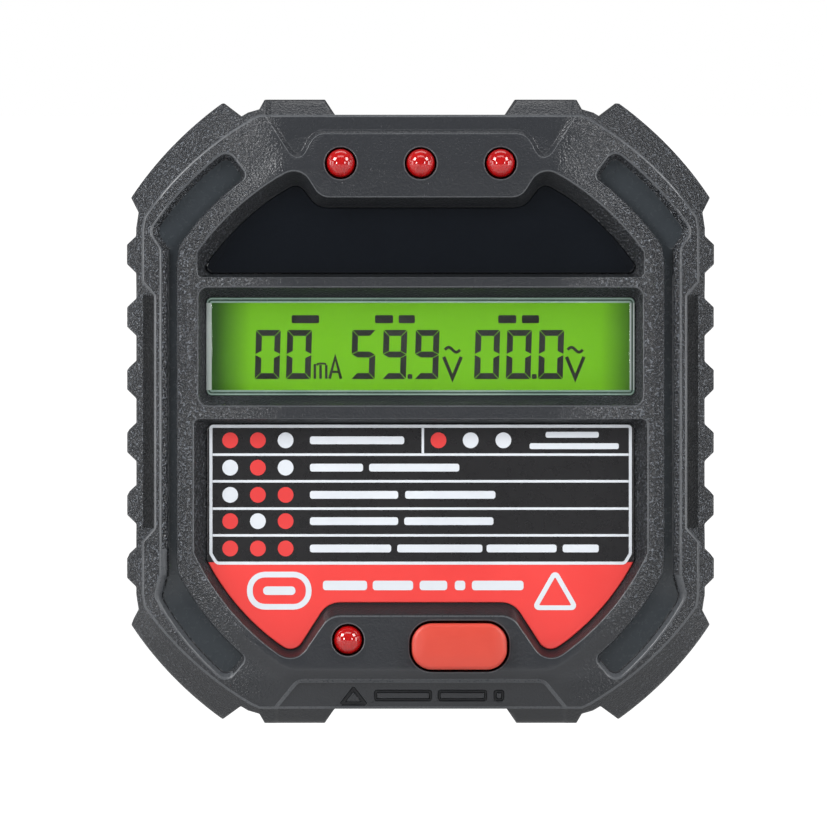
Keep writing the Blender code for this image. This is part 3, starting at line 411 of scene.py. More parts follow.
def spread(tree, value, low, high, start=0.3, end=0.7):
    inputs = {"Value": value, "From Min": start, "From Max": end, "To Min": low, "To Max": high}
    return add(tree, "MapRange", inputs).outputs["Result"]


def ramp(tree, value, low, high, start=0.3, end=0.7):
    node = add(tree, "ValToRGB", {"Fac": value})
    for element, position, colour in zip(node.color_ramp.elements, (start, end), (low, high)):
        element.position = position
        element.color = (*colour, 1.0)
    return node.outputs["Color"]


def bump(tree, height, strength, distance):
    inputs = {"Height": height, "Strength": strength, "Distance": distance * MM}
    return add(tree, "Bump", inputs).outputs["Normal"]


def blended(tree, share, first, second):
    """A colour that goes from the first to the second as the share rises."""
    inputs = {"Factor": share, "A": first, "B": second}
    return add(tree, "Mix", inputs, data_type="RGBA").outputs["Result"]


def grain_fade_and_sheen(tree, grain, least):
    """The grain faded in the middle and the lower corners, and the share of painted sheen in the middle."""
    x, _, z = along_axes(tree)
    away = maths(tree, "ABSOLUTE", x)
    across = spread(tree, away, least, 1.0, 14.0 * MM, 25.0 * MM)
    below = spread(tree, z, 0.4, 1.0, -25.0 * MM, -15.0 * MM)
    kept = maths(tree, "MULTIPLY", across, below)
    faded = add(tree, "Mix", {"Factor": kept, "A": 0.5, "B": grain}).outputs["Result"]
    middle = spread(tree, away, 1.0, 0.0, 15.0 * MM, 24.0 * MM)
    return faded, maths(tree, "MULTIPLY", middle, spread(tree, z, 0.0, 1.0, -28.6 * MM, -27.6 * MM))


def case_plastic(name, low, high, middle, glint_specks, rough, specular=0.5):
    """Spark-eroded plastic: a crisp grain with bright speckles painted on as glints, faded in the middle and
    lower corners of the front, and a middle painted lighter as sheen.
    """
    finish, tree, shader = nodes_of(name)
    fine, sheen_share = grain_fade_and_sheen(tree, noise(tree, 4300.0, 1.2, 0.6), 0.12)
    # the middle of the front is blended to a lighter plain tone: painted sheen
    colour = blended(tree, sheen_share, ramp(tree, noise(tree, 90.0, 3.0, 0.55), low, high), middle)
    # bright speckles on the grain's crests: painted glints over a real grain
    colour = blended(tree, spread(tree, fine, 0.0, 1.0, 0.53, 0.67), colour, glint_specks)
    feed(tree, shader, {"Base Color": colour, "Specular IOR Level": specular,
                        "Roughness": spread(tree, fine, rough + 0.06, rough - 0.06),
                        "Normal": bump(tree, fine, 1.0, 0.5)})
    return finish


def plastic(name, low, high, rough, grain, strength, height=0.02, wander=0.06, metallic=0.0):
    """Moulded plastic: colour wanders slowly, and a grain of the given size in mm roughens it."""
    finish, tree, shader = nodes_of(name)
    fine = noise(tree, 1.0 / (grain * MM), 3.0, 0.6)
    feed(tree, shader, {"Base Color": ramp(tree, noise(tree, 90.0, 3.0, 0.55), low, high),
                        "Roughness": spread(tree, fine, rough - wander, rough + wander),
                        "Normal": bump(tree, fine, strength, height), "Metallic": metallic})
    return finish


def metal(name, colour, rough):
    """Plated or rolled metal with fine scratches along one direction."""
    finish, tree, shader = nodes_of(name)
    stretched = add(tree, "Mapping", {"Vector": surface(tree), "Scale": (1.0, 0.08, 1.0)}).outputs["Vector"]
    scratches = add(tree, "TexNoise", {"Vector": stretched, "Scale": 3500.0, "Detail": 4.0}).outputs["Fac"]
    dull = tuple(0.82 * c for c in colour)
    feed(tree, shader, {"Base Color": ramp(tree, noise(tree, 250.0, 3.0), dull, colour), "Metallic": 1.0,
                        "Roughness": spread(tree, scratches, rough * 0.7, rough * 1.4),
                        "Normal": bump(tree, scratches, 0.1, 0.01)})
    return finish


def clear(name, colour, rough, ior=1.49):
    finish, tree, shader = nodes_of(name)
    haze = spread(tree, noise(tree, 700.0, 4.0), rough * 0.6, rough * 1.5)
    feed(tree, shader, {"Base Color": colour, "Roughness": haze, "Transmission Weight": 1.0, "IOR": ior,
                        "Specular IOR Level": 0.3})
    return finish


def glowing(name, low, high, strength, rough):
    """Backlit surface: an even glow that fades towards the left and right ends, more so at the left."""
    finish, tree, shader = nodes_of(name)
    away = maths(tree, "ABSOLUTE", maths(tree, "SUBTRACT", along_axes(tree)[0], 0.6 * MM))
    wobble = maths(tree, "MULTIPLY_ADD", noise(tree, 60.0, 2.0), 0.6 * MM, away)
    colour = ramp(tree, spread(tree, wobble, 1.0, 0.0, 18.8 * MM, 22.5 * MM), low, high, 0.0, 1.0)
    feed(tree, shader, {"Base Color": colour, "Emission Color": colour, "Emission Strength": strength,
                        "Roughness": rough})
    return finish


def lamp_plastic(name):
    """Tinted lamp body: light passes a little way in, and the middle glows faintly."""
    finish, tree, shader = nodes_of(name)
    colour = ramp(tree, noise(tree, 900.0, 2.0), (0.40, 0.003, 0.004), (0.52, 0.007, 0.007))
    feed(tree, shader, {"Base Color": colour, "Emission Color": colour, "Emission Strength": 0.09,
                        "Roughness": 0.06, "Coat Weight": 0.6, "Coat Roughness": 0.03,
                        "Transmission Weight": 0.25})
    return finish


def earth_wire_plastic(name):
    """Green and yellow insulation in bands along the wire."""
    finish, tree, shader = nodes_of(name)
    inputs = {"Vector": surface(tree), "Scale": 420.0, "Distortion": 0.4}
    bands = add(tree, "TexWave", inputs, bands_direction="X").outputs["Fac"]
    colour = ramp(tree, bands, (0.02, 0.24, 0.03), (0.72, 0.60, 0.03), 0.48, 0.52)
    feed(tree, shader, {"Base Color": colour, "Roughness": 0.42})
    return finish


def floor_paint(name):
    """Pale floor, lit up away from the object so that it meets the pale world evenly."""
    finish, tree, shader = nodes_of(name)
    far = add(tree, "VectorMath", {0: surface(tree)}, operation="LENGTH").outputs["Value"]
    path = add(tree, "LightPath").outputs["Is Camera Ray"]
    seen = maths(tree, "MULTIPLY", spread(tree, far, 0.0, 1.0, 0.25, 0.6), path)
    lit = maths(tree, "MAXIMUM", spread(tree, along_axes(tree)[1], 0.0, 1.0, 0.2, 0.6), seen)
    mottle = ramp(tree, noise(tree, 40.0, 3.0), (0.60, 0.60, 0.60), (0.64, 0.64, 0.64))
    feed(tree, shader, {"Base Color": mottle, "Roughness": 0.9, "Emission Color": (1.0, 1.0, 1.0),
                        "Emission Strength": lit})
    return finish


# Mouldings, prints and coatings: darkest and lightest colour, roughness, grain in mm, the
# grain's strength and height, how far the roughness wanders, and how metallic it is
PLASTICS = {
    # a lighter copy of the case plastic, painted on lips and rims as highlight lines
    "case_edge_highlight": ((0.052, 0.056, 0.062), (0.074, 0.079, 0.086), 0.30, 0.3, 0.2),
    "case_smooth": ((0.024, 0.029, 0.034), (0.032, 0.039, 0.045), 0.26, 0.5, 0.08, 0.02, 0.03),
    "case_inside": ((0.012, 0.0128, 0.0145), (0.017, 0.018, 0.020), 0.45, 0.3, 0.2, 0.02, 0.05),
    "plate_black": ((0.0040, 0.0052, 0.0075), (0.0048, 0.0062, 0.0088), 0.10, 1.2, 0.03, 0.01, 0.02),
    "label_black": ((0.0100, 0.0098, 0.0110), (0.0125, 0.0123, 0.0136), 0.28, 0.9, 0.02, 0.01, 0.02),
    "label_red": ((0.66, 0.042, 0.038), (0.72, 0.055, 0.049), 0.30, 0.9, 0.02, 0.01, 0.02),
    "ink_white": ((0.55, 0.58, 0.62), (0.61, 0.64, 0.68), 0.38, 0.2, 0.08, 0.01, 0.05),
    "ink_red": ((0.56, 0.030, 0.030), (0.62, 0.042, 0.040), 0.38, 0.2, 0.08, 0.01, 0.05),
    "button_red": ((0.51, 0.044, 0.026), (0.57, 0.062, 0.037), 0.42, 0.3, 0.30, 0.02, 0.08),
    # the lamps' body and flange: dark red, painted shade in the hole round each dome
    "lamp_body_shade": ((0.05, 0.001, 0.001), (0.08, 0.002, 0.002), 0.2, 0.5, 0.05, 0.01, 0.04),
    # the window's edge in three copies: painted highlight, painted shade and painted glint
    "window_edge": ((0.22, 0.34, 0.29), (0.36, 0.48, 0.42), 0.22, 0.35, 0.25, 0.02, 0.08),
    "window_shade": ((0.05, 0.09, 0.066), (0.085, 0.135, 0.102), 0.22, 0.35, 0.25, 0.02, 0.08),
    "window_glint": ((0.46, 0.54, 0.51), (0.66, 0.72, 0.69), 0.22, 0.6, 0.25, 0.02, 0.08),
    "digit_grey": ((0.021, 0.021, 0.026), (0.031, 0.031, 0.037), 0.5, 0.2, 0.05, 0.01, 0.05),
    "white_plastic": ((0.62, 0.62, 0.60), (0.72, 0.72, 0.70), 0.45, 0.25, 0.2),
    "zebra_rubber": ((0.16, 0.14, 0.15), (0.26, 0.22, 0.24), 0.75, 0.3, 0.4),
    "solder_mask": ((0.008, 0.10, 0.028), (0.014, 0.15, 0.045), 0.32, 0.8, 0.25),
    "black_epoxy": ((0.010, 0.010, 0.011), (0.018, 0.018, 0.019), 0.55, 0.1, 0.35, 0.02, 0.08),
    "cement": ((0.60, 0.58, 0.53), (0.72, 0.70, 0.65), 0.85, 0.25, 0.7, 0.05),
    "film_box": ((0.62, 0.42, 0.05), (0.74, 0.52, 0.08), 0.35, 0.4, 0.1, 0.02, 0.05),
    "shrink_sleeve": ((0.012, 0.018, 0.07), (0.02, 0.03, 0.11), 0.3, 0.6, 0.15, 0.02, 0.05),
    "resistor_lacquer": ((0.06, 0.22, 0.10), (0.10, 0.30, 0.15), 0.45, 0.3, 0.3),
    "wire_brown": ((0.14, 0.05, 0.02), (0.20, 0.08, 0.035), 0.4, 0.4, 0.1, 0.02, 0.05),
    "wire_blue": ((0.02, 0.10, 0.42), (0.04, 0.15, 0.52), 0.4, 0.4, 0.1, 0.02, 0.05),
    "rating_film": ((0.46, 0.47, 0.48), (0.58, 0.59, 0.60), 0.32, 0.5, 0.1, 0.01, 0.08, 0.6),
}


def make_finishes():
    finish = {name: plastic(name, *look) for name, look in PLASTICS.items()}
    for make, name, *look in (
            (case_plastic, "case_textured", (0.0130, 0.0144, 0.0171), (0.0172, 0.0190, 0.0223),
             (0.0240, 0.0260, 0.0300), (0.110, 0.121, 0.138), 0.25),
            # a darker copy of the case plastic, painted on recess walls as shade
            (case_plastic, "case_wall", (0.0100, 0.0110, 0.0128), (0.0130, 0.0142, 0.0163),
             (0.0125, 0.0137, 0.0158), (0.070, 0.077, 0.088), 0.34, 0.30),
            # darker still, painted on the grip's facet as shade
            (case_plastic, "grip_facet", (0.0046, 0.0051, 0.0061), (0.0062, 0.0069, 0.0080),
             (0.0058, 0.0064, 0.0075), (0.021, 0.024, 0.027), 0.36, 0.14),
            (clear, "window_clear", (0.97, 0.99, 0.98), 0.015),
            (clear, "display_glass", (0.80, 0.95, 0.85), 0.05, 1.5),
            (glowing, "display_green", (0.022, 0.080, 0.007), (0.138, 0.40, 0.003), 0.72, 0.35),
            (metal, "nickel_plate", (0.74, 0.71, 0.66), 0.20),
            (metal, "zinc_steel", (0.56, 0.57, 0.60), 0.32),
            (lamp_plastic, "lamp_red"), (earth_wire_plastic, "wire_earth"), (floor_paint, "studio_floor")):
        finish[name] = make(name, *look)
    return finish


# Shape of the case's front


def soft_ramp(value, width):
    """max(value, 0) with its corner rounded over plus or minus a width."""
    if value <= -width:
        return 0.0
    if value >= width:
        return value
    return (value + width) ** 2 / (4 * width)


def soft_max(values, width=0.5):
    best = values[0]
    for value in values[1:]:
        best = best + soft_ramp(value - best, width)
    return best


def past_corner(x, z):
    """Distance outside the crest's corner arcs."""
    if z > 0:
        return math.hypot(x, z) - CREST_RADIUS
    return math.hypot(x, z + LOWER_RISE) - LOWER_CREST_RADIUS


def outside_crest(x, z):
    """Distance outside the crest, with the corners between its sides rounded."""
    return soft_max((abs(x) - CREST_HALF_WIDTH, past_corner(x, z), z - CREST_TOP, CREST_BOTTOM - z))


def base_depth(x, z):
    """Depth of the front outside its recesses; the bevel spreads out flat where the lamps stand."""
    outside = outside_crest(x, z)
    spread_out = min(1.0, max(0.0, (18.5 - abs(x)) / 5.5)) if z > 20 else 0.0
    width = BEVEL_WIDTH + (LAMP_SLOPE_WIDTH - BEVEL_WIDTH) * spread_out
    slope = BACK_SLOPE + (BEVEL_SLOPE - BACK_SLOPE) * BEVEL_WIDTH / width
    depth = slope * soft_ramp(outside, 0.22) - (slope - BACK_SLOPE) * soft_ramp(outside - width, 0.3)
    return depth + SIDE_CURVE * max(0.0, abs(x) - SIDE_START) ** 2


def crest_contour(distance, spacing=0.55):
    """Points spaced along the crest moved outwards by a distance."""
    width = CREST_HALF_WIDTH + distance
    corners = []
    for sign, radius, rise, limit in ((1, CREST_RADIUS, 0.0, CREST_TOP),
                                      (-1, LOWER_CREST_RADIUS, LOWER_RISE, -CREST_BOTTOM)):
        start = math.degrees(math.acos(width / (radius + distance)))
        end = math.degrees(math.asin((limit + distance - rise) / (radius + distance)))
        half = [corner[:2] for corner in sharp_arc(radius + distance, start, end, 30, (0.0, rise))]
        whole = half + flipped(half)
        corners += whole if sign > 0 else flipped(whole, 1, -1)
    points = []
    for (x0, z0), (x1, z1) in zip(corners, corners[1:] + corners[:1]):
        steps = max(1, round(math.dist((x0, z0), (x1, z1)) / spacing))
        points += [(x0 + (x1 - x0) * k / steps, z0 + (z1 - z0) * k / steps) for k in range(steps)]
    return points


def pocket_corner(inner, outer, end, turn, rise, sunk):
    """Corners of one pocket, from the groove's outer side round to the groove's inner side."""
    inner, outer = inner + 0.15 * sunk, outer - 0.55 * sunk
    end, turn = end - 0.8 * sunk, turn + 0.7 * sunk
    start = math.degrees(math.acos(GROOVE_INNER / inner)) + 0.6
    corners = [(*polar(outer, turn), 1.2), *sharp_arc(outer, turn + 2.4, end - 2.6, 14),
               (*polar(outer, end), 1.1 - 0.3 * sunk), (*polar(inner, end), 0.75 - 0.15 * sunk),
               *sharp_arc(inner, end - 2.2, start, 14)]
    return [(x, z + rise, r) for x, z, r in corners]


def pocket_outline(side, sunk=0.0):
    """Two corner pockets and the groove that joins them, on the right (1) or left (-1).

    Sunk is 0 at the rim and 1 at the foot of the walls.
    """
    groove_inner, groove_outer = GROOVE_INNER + 0.12 * sunk, GROOVE_OUTER - 0.7 * sunk
    upper = pocket_corner(30.75, 34.3, 53.7, 33.7, 0.0, sunk)
    lower = pocket_corner(28.55, 31.9, 50.2, 29.0, LOWER_RISE, sunk)
    steps = [k / 26 for k in range(27)]
    corners = [*upper, *[(groove_inner, 15.6 - 31.2 * t, 0.0) for t in steps]]
    corners += [*flipped(lower, 1, -1), (groove_outer, -17.2, 0.4),
                *[(groove_outer, 28.8 * t - 14.4, 0.0) for t in steps], (groove_outer, 17.2, 0.4)]
    return corners if side > 0 else flipped(corners)


# Share of the drop reached across the outer wall, from its rim at 0 to its foot at 1
POCKET_PROFILE = [(-0.35, 0.0, 0.0), (-0.1, 0.01, 0.01), (0.06, 0.08, 0.05), (0.2, 0.22, 0.10),
                  (0.5, 0.5, 0.22), (0.78, 0.78, 0.33), (0.88, 0.9, 0.40), (0.95, 0.97, 0.62),
                  (1.0, 1.0, 0.92), (1.1, 1.0, 1.0)]


def eased(value):
    """0 below 0, 1 above 1, and a smooth change between them."""
    share = min(1.0, max(0.0, value))
    return share * share * (3 - 2 * share)


def pocket_walls(skin, side, wall_slot, highlight_slot):
    """The walls of one side's pockets and groove; returns the rim's and the foot's rings."""
    groove_end, groove_middle, pocket_middle = 16.9, 26.4, 2.4
    rim, foot = rounded(pocket_outline(side)), rounded(pocket_outline(side, 1.0))
    rings = []
    for t, deep_share, shallow_share in POCKET_PROFILE:
        ring = []
        for (rx, rz), (fx, fz) in zip(rim, foot):
            reach = t if t >= 0 or math.dist((rx, rz), (fx, fz)) > 0.3 else t * 0.4
            x, z = rx + (fx - rx) * reach, rz + (fz - rz) * reach
            outward = abs(x) > groove_middle or past_corner(x, z) > pocket_middle
            share = eased((abs(z) - groove_end) / 0.9) if outward else 1.0
            f = shallow_share + (deep_share - shallow_share) * share
            ring.append(skin.point(x, z, base_depth(x, z) * (1 - f) + pocket_floor(z) * f))
        rings.append(ring)
    # lips, the lower pockets' outer walls and the groove's outer wall near its foot take the highlight slot:
    # painted highlight lines and glints
    for i, (first, second) in enumerate(zip(rings, rings[1:])):
        for k in range(len(first)):
            x, z = skin.flat[first[k]]
            shallow = abs(z) < groove_end and abs(x) > groove_middle
            painted_glint = z < -groove_end and past_corner(x, z) > pocket_middle and i < 5
            slot = highlight_slot if i < 2 or painted_glint or (shallow and i > 5) else wall_slot
            skin.face((first[k - 1], first[k], second[k], second[k - 1]), slot)
    return rings[0], rings[-1]


def pocket_floor(z):
    """Depth of the pockets' floor: deeper in the corners than in the groove between them."""
    return GROOVE_FLOOR + (POCKET_FLOOR - GROOVE_FLOOR) * eased((abs(z) - 15.0) / 5.0)


def winged(side, radius, half_width, base, peak, notch, corner, tip_radius, bend_radius):
    """A plate bounded by a straight base, two arcs and a notch; side 1 is above, -1 below."""
    start = math.degrees(math.acos(half_width / radius))
    end = math.degrees(math.acos(peak / radius))
    rise = 0.0 if side > 0 else LOWER_RISE
    tip_x, tip_z = polar(radius, end)
    right = [(half_width, base, corner)]
    right += sharp_arc(radius, start, end - 5.0, 24, (0.0, rise))
    right += [(tip_x, tip_z + rise, tip_radius), (*notch, bend_radius)]
    whole = right + flipped(right)
    return whole if side > 0 else flipped(whole, 1, -1)


UPPER_PLATE = winged(1, 27.4, 22.6, 14.6, 12.9, (10.9, 21.5), 0.7, 1.1, 2.2)
UPPER_RIM = winged(1, 28.9, 23.5, 14.2, 12.7, (10.6, 22.6), 0.5, 1.9, 1.8)
LEGEND = winged(-1, 25.35, 22.55, 1.35, 13.3, (9.8, 20.1), 0.6, 1.4, 2.4)
LEGEND_RIM = winged(-1, 26.2, 23.85, 0.75, 13.2, (9.6, 21.4), 0.6, 2.0, 2.2)


def bumper_arc(radius, bumper):
    """A bumper's outer face, which stands out more at its upper end."""
    flare = BUMPER_FLARE if bumper else 0.0
    steps, start, end = 16, 36.4, 57.3
    points = [(k / steps, start + (end - start) * k / steps) for k in range(steps + 1)]
    return [(*polar(radius + bumper + flare * (2 * share - 1), angle), 0.0) for share, angle in points]


def quadrant(half_width, half_height, middle, radius, rib, lug, bumper, grip, mouth):
    """Corners of a cross-section from the middle of its right side to the middle of its top."""
    corners = []
    for centre in RIB_CENTRES:
        side = half_width - (grip if centre < 12 else 0.0)
        corners += [(side, centre - 1.95, 0.3), (side + rib, centre - 1.03, 0.25),
                    (side + rib, centre + 1.03, 0.25), (side, centre + 1.95, 0.3)]
        if centre == RIB_CENTRES[1]:
            corners += [(side, 12.25, 0.3), (half_width, GRIP_END, 0.3)]
    corners += [(half_width, 19.3, 1.2), (*polar(radius, 35.2), 0.15)]
    arc = bumper_arc(radius, bumper)
    corners += [(*arc[0][:2], 0.2), *arc[1:-1], (*arc[-1][:2], 0.2)]
    corners += [(*polar(radius, 58.6), 0.15), (*polar(radius, 60.0), 0.3)]
    corners += [(17.0, half_height, 0.1), (16.45, half_height + lug, 0.1)]
    corners += [(x, half_height + lug, 0.0) for x in mouth]
    corners += [(10.1, half_height + lug, 0.15), (9.0, middle, 0.2)]
    return corners


def strip_profile(mouth, drop):
    return slope_profile(mouth[0] - mouth[1], drop, 0.12, 0.1, (0.1, 0.15))


def mouth_stations(mouth, drop):
    """Where the rounded wall of a strip meets the case's edge: (x, share of the drop) pairs."""
    return [(mouth[0] + (mouth[1] - mouth[0]) * t, f) for t, f in strip_profile(mouth, drop)]


# The strips that run out through the top (1) and the bottom (-1): side, drop, mouth, stations
STRIPS = [(side, drop, mouth, mouth_stations(mouth, drop)) for side, drop, mouth in (
    (1, STRIP_DROP, UPPER_MOUTH), (-1, LOWER_STRIP_DROP, LOWER_MOUTH))]


def section(half_width=HALF_WIDTH, half_height=HALF_HEIGHT, middle=EDGE_HALF_HEIGHT,
            radius=CORNER_RADIUS, rib=RIB_PROUD, lug=LUG_PROUD, bumper=BUMPER_PROUD, grip=0.0):
    """A whole cross-section of the case, anticlockwise from the right side."""
    size = (half_width, half_height, middle, radius, rib, lug, bumper, grip)
    upper, lower = [quadrant(*size, [x for x, _ in stations]) for _, _, _, stations in STRIPS]
    return upper + flipped(upper) + flipped(lower + flipped(lower), 1, -1)


def edge_section(outward=0.0):
    return inset(section(EDGE_HALF_WIDTH, EDGE_HALF_HEIGHT, EDGE_HALF_HEIGHT, EDGE_RADIUS,
                         0.0, 0.0, 0.0, GRIP_INSET), -outward)


def edge_depth(x, z):
    """Depth of the front's edge, lower where the two strips run out through it."""
    depth = base_depth(x, z)
    for side, drop, _, stations in STRIPS:
        if side * z > EDGE_HALF_HEIGHT - 1.0 and abs(x) <= stations[0][0] + 1e-6:
            depth += drop * float(np.interp(abs(x), *zip(*stations[::-1])))
    return depth


# Half of each strip's outline, from its side to its middle
STRIP_LINES = {
    1: [(13.9, 27.35), (13.45, 26.95), (12.95, 26.8), (12.45, 27.0), (12.05, 27.5), (11.75, 28.1),
        (11.35, 28.75), (10.8, 29.15), (10.1, 29.3)],
    -1: [(13.65, -28.9), (13.3, -28.5), (12.9, -28.25), (12.3, -28.15)],
}


def smooth_line(points, steps=4):
    """A finer line through the points, which keeps both ends."""
    padded = [points[0], *points, points[-1]]
    line = []
    for a, b, c, d in zip(padded, padded[1:], padded[2:], padded[3:]):
        for k in range(steps):
            t = k / steps
            line.append(tuple(0.5 * (2 * q + (r - p) * t + (2 * p - 5 * q + 4 * r - s) * t * t
                                     + (3 * q - p - 3 * r + s) * t ** 3)
                              for p, q, r, s in zip(a, b, c, d)))
    return line + [points[-1]]


def strip_rings(side, drop, mouth):
    """The nested lines of a strip recess's wall, from its right mouth to its left one."""
    edge = side * (EDGE_HALF_HEIGHT - EDGE_LIP)
    half = STRIP_LINES[side]
    first = [(mouth[0] + (half[0][0] - mouth[0]) * k / 6, edge + (half[0][1] - edge) * k / 6)
             for k in range(1, 6)]
    right = first + smooth_line(half)
    rim = right + flipped(right)
    line = [(mouth[0], edge), *rim, (-mouth[0], edge)]
    reach = 0.8 * (mouth[0] - mouth[1])
    foot = []
    for (x0, z0), (x, z), (x1, z1) in zip(line, line[1:], line[2:]):
        normal = Vector((z1 - z0, x0 - x1)).normalized() * reach
        if normal.y * side < 0:
            normal = -normal
        foot.append((x + normal.x, z + normal.y))
    return [(mix(rim, foot, t), f) for t, f in strip_profile(mouth, drop)]


def cavity_outline():
    half_width, half_height, radius = CAVITY
    start = math.degrees(math.acos(half_width / radius))
    end = math.degrees(math.asin(half_height / radius))
    quarter = sharp_arc(radius, start, end, 8)
    top = quarter + flipped(quarter)
    return top + flipped(top, 1, -1)


def blind_post(skin, spot, radius, base, end, pilot_radius, pilot_end, slot):
    """A round post with a blind pilot hole; returns the loop where it leaves its wall."""
    profile = [(radius, base), (radius, end), (pilot_radius, end), (pilot_radius, pilot_end)]
    rings = skin.round_rings(spot, profile, 24)
    skin.strips(rings, slot)
    skin.fan(rings[-1], spot, pilot_end, slot)
    return rings[0]


def engraved(skin, outline, depth, drop, slot, island):
    """A small engraved frame round an island; returns the loop round it."""
    sunk = lambda x, z: depth(x, z) + drop
    rings, inner = [wall(skin, *[rounded(inset(outline, place), 3) for place in places], depth, sunk,
                         0.04, 0.03, 2, slot)
                    for places in ((0.0, 0.06), (island, island - 0.06))]
    skin.fill(rings[-1], [inner[-1]], slot=slot)
    skin.fill(inner[0])
    return rings[0]


def engraved_marks():
    """Plain marks for the lower strip: a triangular frame and three bars, as (outline, island)."""
    triangle = [(-5.45, -30.95, 0.2), (-7.08, -28.85, 0.2), (-8.7, -30.95, 0.2)]
    bars = [(-4.9, 1.2), (1.8, 7.0), (7.7, 8.8)]
    return [(triangle, 0.42)] + [(rectangle((x0, x1, -30.5, -29.3), 0.3), 0.32) for x0, x1 in bars]


def front_case(finish):
    # the fourth slot is a lighter plastic painted on lips and rims as highlight lines, the fifth a darker one
    # painted on recess walls as shade, the sixth darker still, painted on the grip's facet as shade
    textured, smooth, inner, edge, shaded_wall, facet = range(6)
    skin = Skin()
    holes = []

    # edge of the front, rounded over into the sides
    edge_in = skin.ring(rounded(edge_section(-EDGE_LIP), 3), edge_depth)
    edge_mid = skin.ring(rounded(edge_section(0.0), 3), lambda x, z: edge_depth(x, z) + 0.05)
    edge_out = rounded(edge_section(0.1), 3)
    start = [edge_depth(x, z) + 0.16 for x, z in edge_out]
    edge_low = [skin.point(x, z, d) for (x, z), d in zip(edge_out, start)]
    skin.strips([edge_in, edge_mid, edge_low], edge)
    sides = front_sides(skin, edge_out, start)
    first_slot = len(skin.slots)
    skin.strips([edge_low, *sides])
    # faces of the grip's facet take the darkest plastic: painted shade
    facet_side, facet_end = GRIP_FOOT + 0.01, 12.9
    for i, face in enumerate(skin.faces[first_slot:], first_slot):
        (x0, z0), (_, z1), (x2, _), _ = [skin.flat[key] for key in face]
        if max(abs(z0), abs(z1)) < facet_end and 27 < abs(x0) < facet_side and abs(x2) < facet_side:
            skin.slots[i] = facet

    # strips that run out through the top and bottom edges
    outer = list(edge_in)
    for side, drop, mouth, stations in STRIPS:
        rings = []
        ends = edge_stations(skin, edge_in, stations, side)
        for (line, share), (right, left) in zip(strip_rings(side, drop, mouth), ends):
            inner_line = skin.ring(line, lambda x, z: base_depth(x, z) + drop * share)
            rings.append([right, *inner_line, left][::side])
        # the strips' lips, and the whole wall of the lower strip, take the lighter plastic: a painted
        # highlight
        skin.strips(rings[:4], edge, closed=False)
        skin.strips(rings[3:], textured if side > 0 else edge, closed=False)
        rim, foot = rings[0], rings[-1]
        lip = edge_in[edge_in.index(foot[0]):edge_in.index(foot[-1]) + 1]
        outer[outer.index(rim[0]):outer.index(rim[-1]) + 1] = rim
        marks = []
        if side < 0:
            floor = lambda x, z, drop=drop: base_depth(x, z) + drop
            # the marks' walls and floors take the darker plastic: painted shade
            marks = [engraved(skin, mark, floor, MARK_DROP, shaded_wall, island)
                     for mark, island in engraved_marks()]
        skin.fill(lip + foot[-2:0:-1], marks)

    # pockets and grooves
    for side in (1, -1):
        rim, foot = pocket_walls(skin, side, textured, edge)
        skin.fill(foot, slot=smooth)
        holes.append(rim)

    # recesses of the upper plate and the legend
    for rim, plate in ((UPPER_RIM, UPPER_PLATE), (LEGEND_RIM, LEGEND)):
        seat = rounded(inset(plate, -0.12))
        # the lip takes the lighter plastic as a painted highlight, the wall the darker one as painted shade
        rings = wall(skin, rounded(rim), seat, base_depth, PLATE_FRONT + 0.15, slot=shaded_wall, lip_highlight_slot=edge)
        shaft = skin.ring(seat, PLATE_FLOOR)
        skin.strip(rings[-1], shaft, shaded_wall)
        skin.fill(shaft, slot=shaded_wall)
        holes.append(rings[0])

    # display recess, window seat and opening
    seat_outline = rounded(inset(rectangle(WINDOW, 0.6), -0.12))
    # the lip takes the lighter plastic as a painted highlight, the wall the darker one as painted shade
    rings = wall(skin, rounded(rectangle(DISPLAY_RIM, 1.0)), seat_outline, base_depth,
                 WINDOW_FRONT + 0.15, slot=shaded_wall, lip_highlight_slot=edge)
    seat = skin.ring(seat_outline, WINDOW_LEDGE)
    opening, opening_back = skin.rings([(rectangle(VIEW, 0.3), depth) for depth in (WINDOW_LEDGE, WALL_BACK)])
    skin.strip(rings[-1], seat)
    skin.fill(seat, [opening])
    skin.strip(opening, opening_back, inner)
    holes.append(rings[0])
    back_holes = [opening_back]

    # lamp holes and button hole
    openings = [circle(spot, LAMP_RADIUS + 0.14, 48) for spot in LAMPS.values()]
    openings.append(inset(centred_rectangle(BUTTON, BUTTON_SIZE, BUTTON_CORNER), -0.22))
    for outline in openings:
        # the lip takes the lighter plastic as a painted highlight, the wall the darker one as painted shade
        rings = wall(skin, rounded(inset(outline, -0.02)), rounded(inset(outline, 0.02)), base_depth,
                     WALL_BACK, 0.16, 0.02, 4, shaded_wall, edge)
        holes.append(rings[0])
        back_holes.append(rings[-1])

    skin.fill(outer, holes, front_points(skin, outer, holes))

    for spot in CASE_SCREWS:
        back_holes.append(blind_post(skin, spot, radius=3.0, base=WALL_BACK, end=18.0,
                                     pilot_radius=1.45, pilot_end=8.0, slot=inner))
    for spot in BOARD_SCREWS:
        back_holes.append(blind_post(skin, spot, radius=2.2, base=WALL_BACK, end=12.8,
                                     pilot_radius=1.05, pilot_end=7.0, slot=inner))
    cavity, cavity_rim = skin.rings([(cavity_outline(), WALL_BACK), (cavity_outline(), PARTING)])
    skin.fill(cavity, back_holes, slot=inner)
    skin.strip(cavity, cavity_rim, inner)
    skin.fill(sides[-1], [cavity_rim], slot=inner)
    looks = ("case_textured", "case_smooth", "case_inside", "case_edge_highlight", "case_wall", "grip_facet")
    skin.build("front_case", [finish[name] for name in looks], "front_shell")


def edge_stations(skin, loop, stations, side):
    """Pairs of edge points (right, left) at a strip's wall stations."""
    near = [key for key in loop if skin.flat[key][1] * side > EDGE_HALF_HEIGHT - 1.0]
    return [[min(near, key=lambda key: abs(skin.flat[key][0] - sign * x)) for sign in (1, -1)]
            for x, _ in stations]


